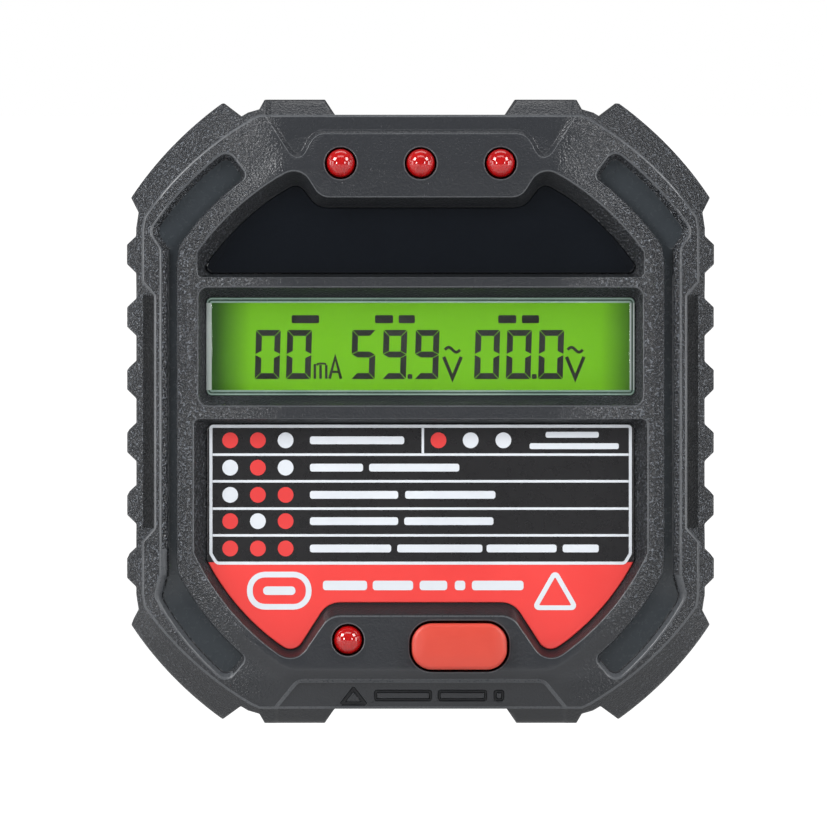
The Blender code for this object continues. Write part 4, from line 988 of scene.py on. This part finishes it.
def front_sides(skin, edge_points, edge_depths):
    """Rings from the front's edge to the parting line: a slope, ribs, lugs and bumpers."""
    body = rounded(section(), 3)
    slope, start = 1.1, 0.12
    first = []
    for (x, z), d, (bx, bz) in zip(edge_points, edge_depths, body):
        if abs(z) < GRIP_END and 20 < abs(x) < GRIP_FOOT:
            share = min(1.0, (GRIP_FOOT - abs(x)) / 0.15)
            first.append((math.copysign(GRIP_FOOT, x), z, d + (GRIP_DEPTH - d) * share))
        else:
            first.append((x + (bx - x) * start, z + (bz - z) * start,
                          d + slope * start * math.dist((x, z), (bx, bz))))
    rings = [[skin.point(*p) for p in first]]
    for share, lag in ((0.5, 0.0), (0.82, 0.0), (0.95, 0.12), (1.0, 0.45)):
        rings.append([skin.point(x + (bx - x) * share, z + (bz - z) * share,
                                 d + slope * math.dist((x, z), (bx, bz)) * min(share, 0.95) + lag)
                      for (x, z, d), (bx, bz) in zip(first, body)])
    return rings + skin.rings([*[(section(), depth) for depth in (8.0, 13.5, PARTING - 0.25)],
                               (inset(section(), 0.08), PARTING - 0.06),
                               (inset(section(), 0.25), PARTING)], 3)


def front_points(skin, outer, holes):
    """Free points along the crest's contours and over the sloping part of the front."""
    spots = []
    for distance in (-0.35, -0.2, -0.07, 0.0, 0.07, 0.2, 0.45, 0.7, 0.9, 1.05, 1.2, 1.35, 1.5):
        spots += crest_contour(distance)
    for distance in (2.0, 3.0, 4.0, 5.0):
        spots += crest_contour(distance, 1.2)
    spots = np.array(spots)
    keep = within(spots, [skin.flat[key] for key in outer])
    keep &= clear_of(spots, [skin.flat[key] for key in outer], 0.12)
    for hole in holes:
        outline = [skin.flat[key] for key in hole]
        keep &= ~within(spots, outline) & clear_of(spots, outline, 0.1)
    return [skin.point(x, z, base_depth(x, z)) for x, z in spots[keep]]


# Back of the case


def hub_outline():
    """The plug's round hub with guide notches at its sides and earth notches above and below."""
    corners = []
    for k in range(4):
        half, floor = GUIDE_NOTCH if k % 2 == 0 else EARTH_NOTCH
        next_half = EARTH_NOTCH[0] if k % 2 == 0 else GUIDE_NOTCH[0]
        start = math.degrees(math.asin(half / HUB_RADIUS))
        end = 90.0 - math.degrees(math.asin(next_half / HUB_RADIUS))
        arc = sharp_arc(HUB_RADIUS, start, end, 22)
        quarter = [(floor, -half, 0.25), (floor, half, 0.25), (*arc[0][:2], 0.3), *arc[1:-1],
                   (*arc[-1][:2], 0.3)]
        turn = math.radians(90.0 * k)
        for x, z, radius in quarter:
            corners.append((x * math.cos(turn) - z * math.sin(turn),
                            x * math.sin(turn) + z * math.cos(turn), radius))
    return corners


def rear_case(finish):
    inner = 1
    skin = Skin()
    rings = skin.rings([(inset(section(), 0.25), REAR_START), (inset(section(), 0.08), REAR_START + 0.06),
                        (section(), REAR_START + 0.25), (section(), SHOULDER)], 3)
    body, back = rounded(section(), 3), rounded(section(28.6, 30.4, 30.2, 35.0, 0.0, 0.0, 0.0), 3)
    for across, along in quarter_round(9, 1):
        rings.append(skin.ring(mix(body, back, across), SHOULDER + (BODY_BACK - SHOULDER) * along))
    skin.strips(rings)
    cavity_rim, cavity = skin.rings([(cavity_outline(), REAR_START), (cavity_outline(), REAR_WALL)])
    skin.fill(rings[0], [cavity_rim], slot=inner)
    skin.strip(cavity_rim, cavity, inner)

    inner_holes, outer_holes = [], []
    for spot in CASE_SCREWS:
        tube, tube_end, hole = WELL_RADIUS + 0.9, 18.3, 1.5
        profile = [(tube, REAR_WALL), (tube, tube_end), (hole, tube_end), (hole, WELL_FLOOR),
                   (WELL_RADIUS, WELL_FLOOR),
                   (WELL_RADIUS, BODY_BACK - 0.25), (WELL_RADIUS + 0.07, BODY_BACK - 0.07),
                   (WELL_RADIUS + 0.25, BODY_BACK)]
        loops = skin.round_rings(spot, profile)
        skin.strips(loops[:4], inner)
        skin.strips(loops[3:])
        inner_holes.append(loops[0])
        outer_holes.append(loops[-1])
    for side in (1, -1):
        middle = side * (EARTH_NOTCH[1] + GAP + STRAP_THICKNESS / 2)
        slot_size = (2 * STRAP_HALF_WIDTH + 2 * GAP, STRAP_THICKNESS + 1.4 * GAP)
        hole = centred_rectangle((0.0, middle), slot_size, 0.1)
        loops = skin.rings([(hole, REAR_WALL), (hole, BODY_BACK)], 3)
        skin.strips(loops)
        inner_holes.append(loops[0])
        outer_holes.append(loops[1])

    hub, edge = hub_outline(), 0.7
    loops = [(inset(hub, -0.04), BODY_BACK), (hub, BODY_BACK + 0.3)]
    loops += [(inset(hub, edge * across), PLUG_FACE - edge + edge * along)
              for across, along in quarter_round(6)]
    loops = skin.rings(loops, 4)
    skin.strips(loops)
    face_inside = PLUG_FACE - HUB_FACE_WALL
    hollow, hollow_end = skin.round_rings((0, 0), [(HUB_CAVITY, REAR_WALL), (HUB_CAVITY, face_inside)], 64)
    skin.strip(hollow, hollow_end, inner)
    face_holes, wall_holes = [], []
    for x in (PIN_SPACING / 2, -PIN_SPACING / 2):
        profile = [(PIN_RADIUS + 0.55, PLUG_FACE), (PIN_RADIUS + 0.37, PLUG_FACE - 0.07),
                   (PIN_RADIUS + GAP, PLUG_FACE - 0.3), (PIN_RADIUS + GAP, face_inside)]
        pin_rings = skin.round_rings((x, 0), profile)
        skin.strips(pin_rings)
        face_holes.append(pin_rings[0])
        wall_holes.append(pin_rings[-1])
    for z in (9.5, -9.5):
        wall_holes.append(blind_post(skin, (0.0, z), radius=2.3, base=face_inside, end=40.2,
                                     pilot_radius=1.05, pilot_end=43.8, slot=inner))
    skin.fill(loops[-1], face_holes)
    skin.fill(hollow_end, wall_holes, slot=inner)
    skin.fill(cavity, [hollow, *inner_holes], slot=inner)
    skin.fill(rings[-1], [loops[0], *outer_holes])
    skin.build("rear_case", [finish["case_textured"], finish["case_inside"]], "rear_shell")


# Front pieces


def rounded_front(outline, front, bevel):
    """Outlines and depths of a plate's rounded front edge, from its flat face outwards."""
    return [(inset(outline, bevel * (1 - along)), front + bevel * across)
            for across, along in quarter_round(4)]


def bevelled_plate(name, finish, outline, front, back, bevel, node):
    skin = Skin()
    skin.solid(skin.rings([*rounded_front(outline, front, bevel), (outline, back - 0.05),
                           (inset(outline, 0.03), back)]))
    skin.build(name, [finish], node)


def window(finish):
    """The clear window: a sloping polished edge, painted in lines of highlight and shade with glints on its
    upright sides, round a flat face.
    """
    clear_face, light, shade, glint = range(4)
    skin = Skin()
    outline = rectangle(WINDOW, 0.6)
    edge = ((0.64, 0.0), (0.58, 0.02), (0.40, 0.14), (0.22, 0.24), (0.08, 0.27), (0.0, 0.35))
    loops = [(inset(outline, inward), WINDOW_FRONT + down) for inward, down in edge]
    rings = skin.rings([*loops, (outline, WINDOW_BACK), (inset(outline, 0.6), WINDOW_BACK)])
    for slot, *pair in zip((clear_face, light, shade, light, shade, shade, shade), rings, rings[1:]):
        skin.strip(*pair, slot)
    skin.fill(rings[0], slot=clear_face)
    skin.fill(rings[-1], slot=clear_face)
    # the upright sides take the glint plastic: painted glints, on the left over the shaded lines too
    middle = (WINDOW[2] + WINDOW[3]) / 2
    for i, face in enumerate(skin.faces):
        x, z = np.mean([skin.flat[key] for key in face], axis=0)
        upright = abs(z - middle) < 0.1 and abs(x) > 20
        if upright and (skin.slots[i] == light or (x < 0 and skin.slots[i] == shade)):
            skin.slots[i] = glint
    looks = [finish[f"window_{look}"] for look in ("clear", "edge", "shade", "glint")]
    skin.build("display_window", looks, "lcd_window", sharp=25.0)


def split_plate(finish):
    """The legend: a black film above and a red band below, which meet at one level."""
    loops = [*rounded_front(LEGEND, PLATE_FRONT, 0.14), (LEGEND, PLATE_BACK)]
    for name, look, keep, node in (("legend_film", "label_black", 1, "legend_label"),
                                   ("legend_band", "label_red", -1, None)):
        skin = Skin()
        skin.solid([skin.ring(clip_outline(rounded(outline), BAND_TOP, keep), depth)
                    for outline, depth in loops])
        skin.build(name, [finish[look]], node)


def clip_outline(points, level, keep):
    """The part of an outline above (1) or below (-1) a level, with the cut points added."""
    kept = []
    for i, (x1, z1) in enumerate(points):
        x0, z0 = points[i - 1]
        if (z0 - level) * (z1 - level) < 0:
            t = (level - z0) / (z1 - z0)
            kept.append((x0 + (x1 - x0) * t, level))
        if (z1 - level) * keep > 0:
            kept.append((x1, z1))
    return kept


def printed(name, shapes, finish, front, thickness=0.02):
    """Thin printed marks, slightly proud of their plate: each shape is an outline and its holes."""
    skin = Skin()
    for lines in shapes:
        tops, bottoms = [[skin.ring(line, front + side * thickness) for line in lines] for side in (-1, 1)]
        for top, bottom in zip(tops, bottoms):
            skin.strip(top, bottom)
        for outline, *holes in (tops, bottoms):
            skin.fill(outline, holes)
    skin.build(name, [finish])


def bar(x0, x1, z, height, radius=0.25):
    return [rounded(rectangle((x0, x1, z - height / 2, z + height / 2), radius), 4)]


def framed(outline, width, steps=8):
    """The shape of a line of a given width just inside an outline."""
    return [rounded(outline, steps), rounded(inset(outline, width), steps)]


# The legend's print: heights of its rows and of the lines between them, and what stands in each row
BAND_TOP = -15.85
ROW_LINES = (-4.51, -7.32, -10.2, -13.02)
ROWS = (-3.0, -5.88, -8.75, -11.52, -14.4)
DOT_COLUMNS = (-20.07, -17.15, -14.23)
SIDE_DOTS = (1.88, 5.27, 8.72)
DOT_COLOURS = ("RRW", "WRW", "WRR", "RWR", "RRR")
WORDS = (
    [(-11.67, -1.73)],
    [(-11.67, -6.07), (-5.43, 4.08)],
    [(-11.67, -2.37), (-1.63, 7.88)],
    [(-11.67, -2.37), (-1.73, 7.67)],
    [(-11.67, -3.11), (-2.47, 6.51), (6.95, 14.33), (14.97, 18.77)],
)


def legend_print(finish):
    line, half, top = 0.16, 22.1, -1.52
    border = [(-half, top, 0.25), (-half, -14.95, 0.5), (-21.5, -15.95, 0.5)]
    border = inset(border + flipped(border), -line)
    shapes = [framed(border, 2 * line, 4)]
    inner = half - line - 0.02
    shapes += [bar(-inner, inner, z, 0.26, 0.0) for z in ROW_LINES]
    shapes.append([rounded(rectangle((0.1, 0.36, ROW_LINES[0] + 0.15, top - line - 0.02)))])
    reds = []
    dots = [(x, z, colour) for z, row in zip(ROWS, DOT_COLOURS) for x, colour in zip(DOT_COLUMNS, row)]
    dots += [(x, ROWS[0], colour) for x, colour in zip(SIDE_DOTS, "RWW")]
    for x, z, colour in dots:
        (reds if colour == "R" else shapes).append([rounded(circle((x, z), 0.83, 36))])
    for z, words in zip(ROWS, WORDS):
        shapes += [bar(x0, x1, z, 0.82) for x0, x1 in words]
    shapes += [bar(13.17, 18.77, -2.42, 0.62, 0.2), bar(11.48, 20.88, -3.62, 0.62, 0.2)]
    # in the red band: a plain capsule, bars and an empty triangle
    shapes.append(framed(rectangle((-18.3, -11.5, -20.85, -16.85), 1.9), 0.6))
    shapes.append(bar(-16.6, -13.2, -18.85, 0.9, 0.4))
    for x0, x1 in ((-10.3, -5.64), (-5.05, -0.8), (-0.1, 2.8), (3.6, 4.7), (5.4, 10.84)):
        shapes.append(bar(x0, x1, -18.3, 1.0, 0.3))
    shapes.append(framed([(16.75, -20.9, 0.5), (14.17, -16.4, 0.5), (11.6, -20.9, 0.5)], 0.5, 6))
    printed("legend_white_print", shapes, finish["ink_white"], PLATE_FRONT)
    printed("legend_red_print", reds, finish["ink_red"], PLATE_FRONT)


def digit_segments(x, width, low, high, figure):
    """Seven-segment figure between two heights; segments have mitred ends and small gaps."""
    stroke, half, gap, lean = 0.63, 0.315, 0.06, 0.03
    side, top = width / 2, (high - low) / 2
    near, level = side - stroke, top - stroke
    flat = [(gap - side, top), (-near, level), (near, level), (side - gap, top)]
    upright = [(-side, top - gap), (-side, gap), (-near, half + gap), (-near, level - gap)]
    right = flipped(upright)
    segments = {"a": flat, "b": right, "c": flipped(right, 1, -1), "d": flipped(flat, 1, -1),
                "e": flipped(upright, 1, -1), "f": upright,
                "g": [(gap - side, 0.0), (-near, -half), (near, -half), (side - gap, 0.0),
                      (near, half), (-near, half)]}
    lit = {"0": "abcdef", "5": "afgcd", "9": "abcdfg"}[figure]
    return [[[(x + side + a + (top + b) * lean, low + top + b) for a, b in segments[name]]] for name in lit]


def stroke_shape(line, width):
    """A constant-width stroke along an open line of points."""
    left, right = [], []
    for i, (x, z) in enumerate(line):
        before = Vector(line[max(i - 1, 0)])
        after = Vector(line[min(i + 1, len(line) - 1)])
        along = (after - before).normalized()
        reach = width / 2
        if 0 < i < len(line) - 1:
            here = Vector((x, z))
            turn = (here - before).normalized().dot((after - here).normalized())
            reach /= math.sqrt(max(0.15, (1 + turn) / 2))
        left.append((x - along.y * reach, z + along.x * reach))
        right.append((x + along.y * reach, z - along.x * reach))
    return [left + right[::-1]]


def display(finish):
    """The backlit glass and its dark figures."""
    low, high = 3.41, 8.59
    shapes = []
    for x, width, figure in ((-17.5, 2.6, "0"), (-14.2, 2.6, "0"), (-7.35, 2.5, "5"), (-4.05, 2.5, "9"),
                             (-0.65, 2.5, "9"), (5.65, 2.6, "0"), (9.0, 2.6, "0"), (12.4, 2.6, "0")):
        shapes += digit_segments(x, width, low, high, figure)
    # decimal points, then the units: a V under a wave, and two letters
    for x in (-1.12, 12.0):
        shapes.append([rounded(centred_rectangle((x, low + 0.27), (0.5, 0.5), 0.1), 3)])
    strokes = []
    for x in (2.45, 15.4):
        strokes.append(([(x, 5.75), (x + 0.92, 3.5), (x + 1.84, 5.75)], 0.36))
        wave = [(x + 0.12 + 1.6 * k / 12, 6.5 + 0.26 * math.sin(2 * math.pi * k / 12)) for k in range(13)]
        strokes.append((wave, 0.3))
    strokes += [([(x, 3.45), (x, top)], 0.26) for x, top in ((-11.15, 5.0), (-10.55, 4.9), (-9.95, 4.9))]
    arch = [(-10.97, 4.86), (-10.85, 5.0), (-10.62, 5.05), (-10.35, 5.05), (-10.1, 5.03), (-9.98, 4.93)]
    strokes += [(arch, 0.2), ([(-9.6, 3.45), (-9.0, 5.72), (-8.4, 3.45)], 0.3)]
    shapes += [stroke_shape(line, width) for line, width in strokes]
    shapes.append([rounded(rectangle((-9.38, -8.62, 4.05, 4.3)), 3)])
    for x0, x1 in ((-13.6, -10.7), (-4.8, -2.9), (-2.3, -0.6), (8.2, 10.1), (10.7, 12.5)):
        shapes.append(bar(x0, x1, 9.72, 0.85, 0.15))
    printed("display_figures", shapes, finish["digit_grey"], GLASS_FRONT, 0.03)
    bevelled_plate("display_front_glass", finish["display_green"], rectangle((-24.0, 24.0, -3.0, 14.0), 0.1),
                   GLASS_FRONT, GLASS_BACK, 0.05, "lcd_front_glass")


def lamp(name, spot, finish):
    """A 3 mm lamp: dome, body and flange in one clear-red moulding; the body and flange are painted dark red
    as shade.
    """
    dome = [(LAMP_RADIUS * along, LAMP_TIP + LAMP_RADIUS * across) for across, along in quarter_round(14, 1)]
    flange, rim = LAMP_BACK - 1.0, LAMP_FLANGE_RADIUS - 0.08
    body = [(LAMP_RADIUS, flange - 0.06), (LAMP_RADIUS + 0.06, flange), (rim, flange),
            (LAMP_FLANGE_RADIUS, flange + 0.08), (LAMP_FLANGE_RADIUS, LAMP_BACK - 0.08), (rim, LAMP_BACK)]
    skin = Skin()
    rings = skin.round_rings(spot, dome + body, 48)
    skin.strips(rings[:len(dome)])
    # slot 1, the body and flange, is painted dark as shade
    skin.strips(rings[len(dome) - 1:], 1)
    skin.fan(rings[0], spot, LAMP_TIP)
    skin.fan(rings[-1], spot, LAMP_BACK, 1)
    skin.build(f"lamp_{name}", [finish["lamp_red"], finish["lamp_body_shade"]], f"led_{name}")


def button(finish):
    """The test button's cap: softly crowned top, rounded shoulder, straight sides and a flange."""
    cap = centred_rectangle(BUTTON, BUTTON_SIZE, BUTTON_CORNER)
    crown, shoulder = 0.16, 0.5
    loops = []
    for i in range(6, 0, -1):
        share = i / 6
        loops.append((inset(cap, shoulder + 1.35 * share), BUTTON_TOP + crown * (1 - share) ** 2))
    edge = quarter_round(9, 1)
    loops += [(inset(cap, shoulder * (1 - along)), BUTTON_TOP + crown + shoulder * (across - edge[0][0]))
              for across, along in edge]
    flange_front = BUTTON_BACK - 1.0
    flange = inset(cap, -0.8)
    loops += [(cap, flange_front - 0.1), (inset(cap, -0.1), flange_front),
              (inset(flange, 0.1), flange_front), (flange, flange_front + 0.1),
              (flange, BUTTON_BACK - 0.1), (inset(flange, 0.1), BUTTON_BACK)]
    skin = Skin()
    skin.solid(skin.rings(loops, 10))
    skin.build("button_cap", [finish["button_red"]], "test_button", "button")


def return_spring(finish):
    """The button's return spring: a coil round the button's axis."""
    start, end = SPRING_FRONT + SPRING_WIRE, SPRING_BACK - SPRING_WIRE
    steps, sides = int(SPRING_TURNS * 32), 10
    skin = Skin()
    rings = []
    for i in range(steps + 1):
        share = i / steps
        angle = 2 * math.pi * SPRING_TURNS * share
        ring = []
        for k in range(sides):
            turn = 2 * math.pi * k / sides
            radius = SPRING_RADIUS + SPRING_WIRE * math.cos(turn)
            ring.append(skin.point(BUTTON[0] + radius * math.cos(angle), BUTTON[1] + radius * math.sin(angle),
                                   start + (end - start) * share + SPRING_WIRE * math.sin(turn)))
        rings.append(ring)
    skin.strips(rings)
    skin.face(rings[0])
    skin.face(rings[-1])
    coil = skin.build("return_spring", [finish["zinc_steel"]], "button_spring")
    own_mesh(coil)


# Plug and back pieces


def pins(finish):
    """The contact pins: a rounded end, a long shank, a collar and a narrower tail."""
    collar_back = PLUG_FACE - HUB_FACE_WALL - GAP
    profile = [(PIN_RADIUS * along ** 0.8, PIN_TIP - 2.0 * across) for across, along in quarter_round(9, 1)]
    profile += [(PIN_RADIUS, PLUG_FACE - 1.0), (PIN_RADIUS, collar_back + 0.05), (3.35, collar_back),
                (3.4, collar_back - 0.1), (3.4, 40.1), (3.3, 40.0), (1.65, 40.0), (1.6, 39.9),
                (1.6, PIN_BACK + 0.2), (1.4, PIN_BACK)]
    for name, side in (("live", 1), ("neutral", -1)):
        skin = Skin()
        spot = (side * PIN_SPACING / 2, 0.0)
        rings = skin.round_rings(spot, profile, 48)
        skin.strips(rings)
        for end in (0, -1):
            skin.fan(rings[end], spot, profile[end][1])
        skin.build(f"{name}_contact_pin", [finish["nickel_plate"]], f"{name}_pin")


def earth_clip(finish):
    """One bent strip: a bar behind the plug's opening and a bowed leg along each earth notch."""
    near = EARTH_NOTCH[1] + GAP
    bar_back, leg_start, leg_end, bow_start = 25.4, 27.0, 43.4, 29.4
    stations, bend = 24, 0.7
    outer, inner = [], []
    for i in range(stations + 1):
        share = i / stations
        depth = leg_start + (leg_end - leg_start) * share
        bow = max(0.0, (depth - bow_start) / (leg_end - bow_start)) ** 1.3
        rise = 0.6 * math.sin(math.pi * bow) - 0.1 * share ** 8
        outer.append((near + STRAP_THICKNESS + rise, depth, 0.0))
        inner.append((near + rise, depth, 0.0))
    corner = [(near + STRAP_THICKNESS - bend * (1 - along), bar_back - STRAP_THICKNESS + bend * across, 0.0)
              for across, along in quarter_round(6)]
    half = [*corner, *outer, *inner[::-1], (near, bar_back, 0.0)]
    profile = half + flipped(half)
    edge = 0.08
    skin = Skin()
    rings = [[skin.point(x, z, depth) for z, depth, _ in inset(profile, shrink)]
             for x, shrink in ((-STRAP_HALF_WIDTH, edge), (edge - STRAP_HALF_WIDTH, 0.0),
                               (STRAP_HALF_WIDTH - edge, 0.0), (STRAP_HALF_WIDTH, edge))]
    skin.strips(rings)
    skin.face(rings[0])
    skin.face(rings[-1])
    skin.build("earth_clip_strip", [finish["nickel_plate"]], "earth_strap")


def case_screws(finish):
    """Pan-head screws with a cross recess, at the bottom of the four wells."""
    seat, tip, core, crest, pitch = WELL_FLOOR + GAP, 9.5, 1.1, 1.28, 0.9
    profile = [(1.95, seat + 1.7), (2.15, seat + 1.55), (2.28, seat + 1.2), (2.3, seat + 0.8), (2.3, seat),
               (core, seat)]
    for k in range(int((seat - tip - 2.0) / pitch)):
        start = seat - 0.6 - k * pitch
        profile += [(core, start), (crest, start - 0.2 * pitch), (crest, start - 0.3 * pitch),
                    (core, start - 0.5 * pitch)]
    profile += [(1.0, tip + 1.2), (0.3, tip + 0.1)]
    arm, half = 1.25, 0.28
    quarter = [(half, half), (half, arm)]
    cross = quarter + flipped(quarter)
    cross = [*cross, (-arm, half), *flipped([*cross, (-arm, half)], 1, -1), (arm, -half), (arm, half)]
    for i, (x, z) in enumerate(CASE_SCREWS, 1):
        skin = Skin()
        rings = skin.round_rings((x, z), profile)
        skin.strips(rings)
        skin.fan(rings[-1], (x, z), tip)
        mouth, floor = [skin.ring([(x + size * a, z + size * b) for a, b in cross], depth)
                        for size, depth in ((1.0, seat + 1.7), (0.6, seat + 0.7))]
        skin.strip(mouth, floor)
        skin.fill(rings[0], [mouth])
        skin.fill(floor)
        skin.build(f"case_screw_cross_{i}", [finish["zinc_steel"]], f"case_screw_{i}")


def rating_plate(finish):
    """A film on the back of the case, with plain bars and a square as its print."""
    outline = centred_rectangle((0, -24.4), (24.0, 7.5), 0.8)
    edge = inset(outline, 0.06)
    skin = Skin()
    skin.solid(skin.rings([(edge, RATING_FRONT), (outline, RATING_FRONT + 0.06),
                           (outline, RATING_BACK - 0.06), (edge, RATING_BACK)]))
    skin.build("rating_film", [finish["rating_film"]], "rating_label")
    square = centred_rectangle((7.6, -24.4), (4.2, 4.2), 0.3)
    shapes = [framed(inset(outline, 0.5), 0.15), framed(square, 0.35), [rounded(inset(square, 1.2))]]
    for z, ends in ((-22.4, ((-10.6, -4.0), (-3.4, 1.0))), (-23.8, ((-10.6, 3.0),)),
                    (-25.2, ((-10.6, -6.2), (-5.6, 0.4))), (-26.6, ((-10.6, 1.8),))):
        shapes += [bar(x0, x1, z, 0.55, 0.2) for x0, x1 in ends]
    printed("rating_print", shapes, finish["black_epoxy"], RATING_BACK, 0.015)


def give_materials(finish):
    """Procedural materials for the CAD nodes that keep their own shape."""
    looks = {
        "switch_plunger": "black_epoxy", "switch_body": "black_epoxy", "switch_cover": "zinc_steel",
        "switch_dome": "nickel_plate", "lcd_rear_glass": "display_glass", "lcd_holder": "white_plastic",
        "backlight_guide": "white_plastic", "backlight_led": "white_plastic", "main_pcb": "solder_mask",
        "zebra_strip": "zebra_rubber", "controller_chip": "black_epoxy", "bridge_rectifier": "black_epoxy",
        "electrolytic_capacitor": "shrink_sleeve", "film_capacitor": "film_box",
        "fuse_resistor": "resistor_lacquer", "rcd_load_resistor": "cement", "live_wire": "wire_brown",
        "neutral_wire": "wire_blue", "earth_wire": "wire_earth", "pin_carrier": "white_plastic",
    }
    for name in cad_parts:
        look = looks.get(name)
        if look is None and ("_lead_" in name or "screw" in name):
            look = "zinc_steel"
        if look:
            for slot in bpy.data.objects[name].material_slots:
                slot.material = finish[look]


# Studio


def aimed(name, data, location, back):
    """A light or camera at a place, with its back turned along a direction."""
    holder = bpy.data.objects.new(name, data)
    holder.location = location
    holder.rotation_mode = "QUATERNION"
    holder.rotation_quaternion = back.to_track_quat("Z", "Y")
    bpy.context.scene.collection.objects.link(holder)
    return holder


def area_light(name, azimuth, elevation, distance, size, power):
    """A light aimed at the front's centre; azimuth 0 is straight ahead of the display."""
    data = bpy.data.lights.new(name, "AREA")
    data.shape = "RECTANGLE"
    data.size, data.size_y = size
    data.energy = power
    a, e = math.radians(azimuth), math.radians(elevation)
    location = Vector((distance * math.sin(a) * math.cos(e),
                       FRONT_Y - distance * math.cos(a) * math.cos(e), distance * math.sin(e)))
    aimed(name, data, location, location - Vector((0.0, FRONT_Y, 0.0)))


def studio(finish):
    away = 0.62
    for name, side, power in (("left", -1, 1.24), ("right", 1, 0.82)):
        area_light(f"key_{name}", side * 34, 6, away, (0.08, 0.14), 0.72 * power)
        area_light(f"side_{name}", side * 58, 34, away, (0.22, 0.22), 2.35 * power)
        area_light(f"low_{name}", side * 70, 2, away, (0.14, 0.3), 0.65 / power)
        area_light(f"rim_{name}", side * 94, 0, away, (0.2, 0.4), 0.9 * power)
    area_light("top", 0, 60, away, (0.5, 0.14), 0.7)
    area_light("back", 180, 70, 0.7, (0.7, 0.25), 1.2)

    floor_mesh = bpy.data.meshes.new("studio_floor")
    reach, level = 60.0, -0.075
    floor_mesh.from_pydata([(-reach, -reach, level), (reach, -reach, level), (reach, reach, level),
                            (-reach, reach, level)], [], [(0, 1, 2, 3)])
    floor_mesh.materials.append(finish["studio_floor"])
    floor = bpy.data.objects.new("studio_floor", floor_mesh)
    bpy.context.scene.collection.objects.link(floor)

    # the world looks white, but lights the object softly and a little more from above
    world = bpy.data.worlds.new("studio")
    bpy.context.scene.world = world
    world.use_nodes = True
    tree = world.node_tree
    tree.nodes.clear()
    shade = spread(tree, along_axes(tree, "Generated")["Z"], 0.085, 0.13, -0.4, 0.4)
    lit, seen = [add(tree, "Background", {"Color": (1.0, 1.0, 1.0), "Strength": strength})
                 for strength in (shade, 1.0)]
    path = add(tree, "LightPath").outputs["Is Camera Ray"]
    blend = add(tree, "MixShader", {"Fac": path, 1: lit.outputs["Background"], 2: seen.outputs["Background"]})
    add(tree, "OutputWorld", {"Surface": blend.outputs["Shader"]})
    bpy.context.scene.view_settings.view_transform = "Standard"


def camera():
    """A long lens slightly above the display's axis."""
    distance, frame_width, sensor = 2.0, 0.08742, 36.0
    data = bpy.data.cameras.new("camera")
    data.sensor_width = sensor
    data.lens = sensor * distance / frame_width
    data.clip_start, data.clip_end = 0.1, 200.0
    target = Vector((-0.00073, FRONT_Y + 0.008, -0.00029))
    yaw, pitch = math.radians(-0.2), math.radians(1.0)
    back = Vector((math.sin(yaw) * math.cos(pitch), -math.cos(yaw) * math.cos(pitch), math.sin(pitch)))
    bpy.context.scene.camera = aimed("camera", data, target + back * distance, back)


def main():
    finish = make_finishes()
    front_case(finish)
    rear_case(finish)
    window(finish)
    bevelled_plate("upper_plate_gloss", finish["plate_black"], UPPER_PLATE, PLATE_FRONT, PLATE_BACK, 0.14,
                   "upper_plate")
    split_plate(finish)
    legend_print(finish)
    display(finish)
    for name, spot in LAMPS.items():
        lamp(name, spot, finish)
    button(finish)
    return_spring(finish)
    pins(finish)
    earth_clip(finish)
    case_screws(finish)
    rating_plate(finish)
    give_materials(finish)
    studio(finish)
    camera()


main()
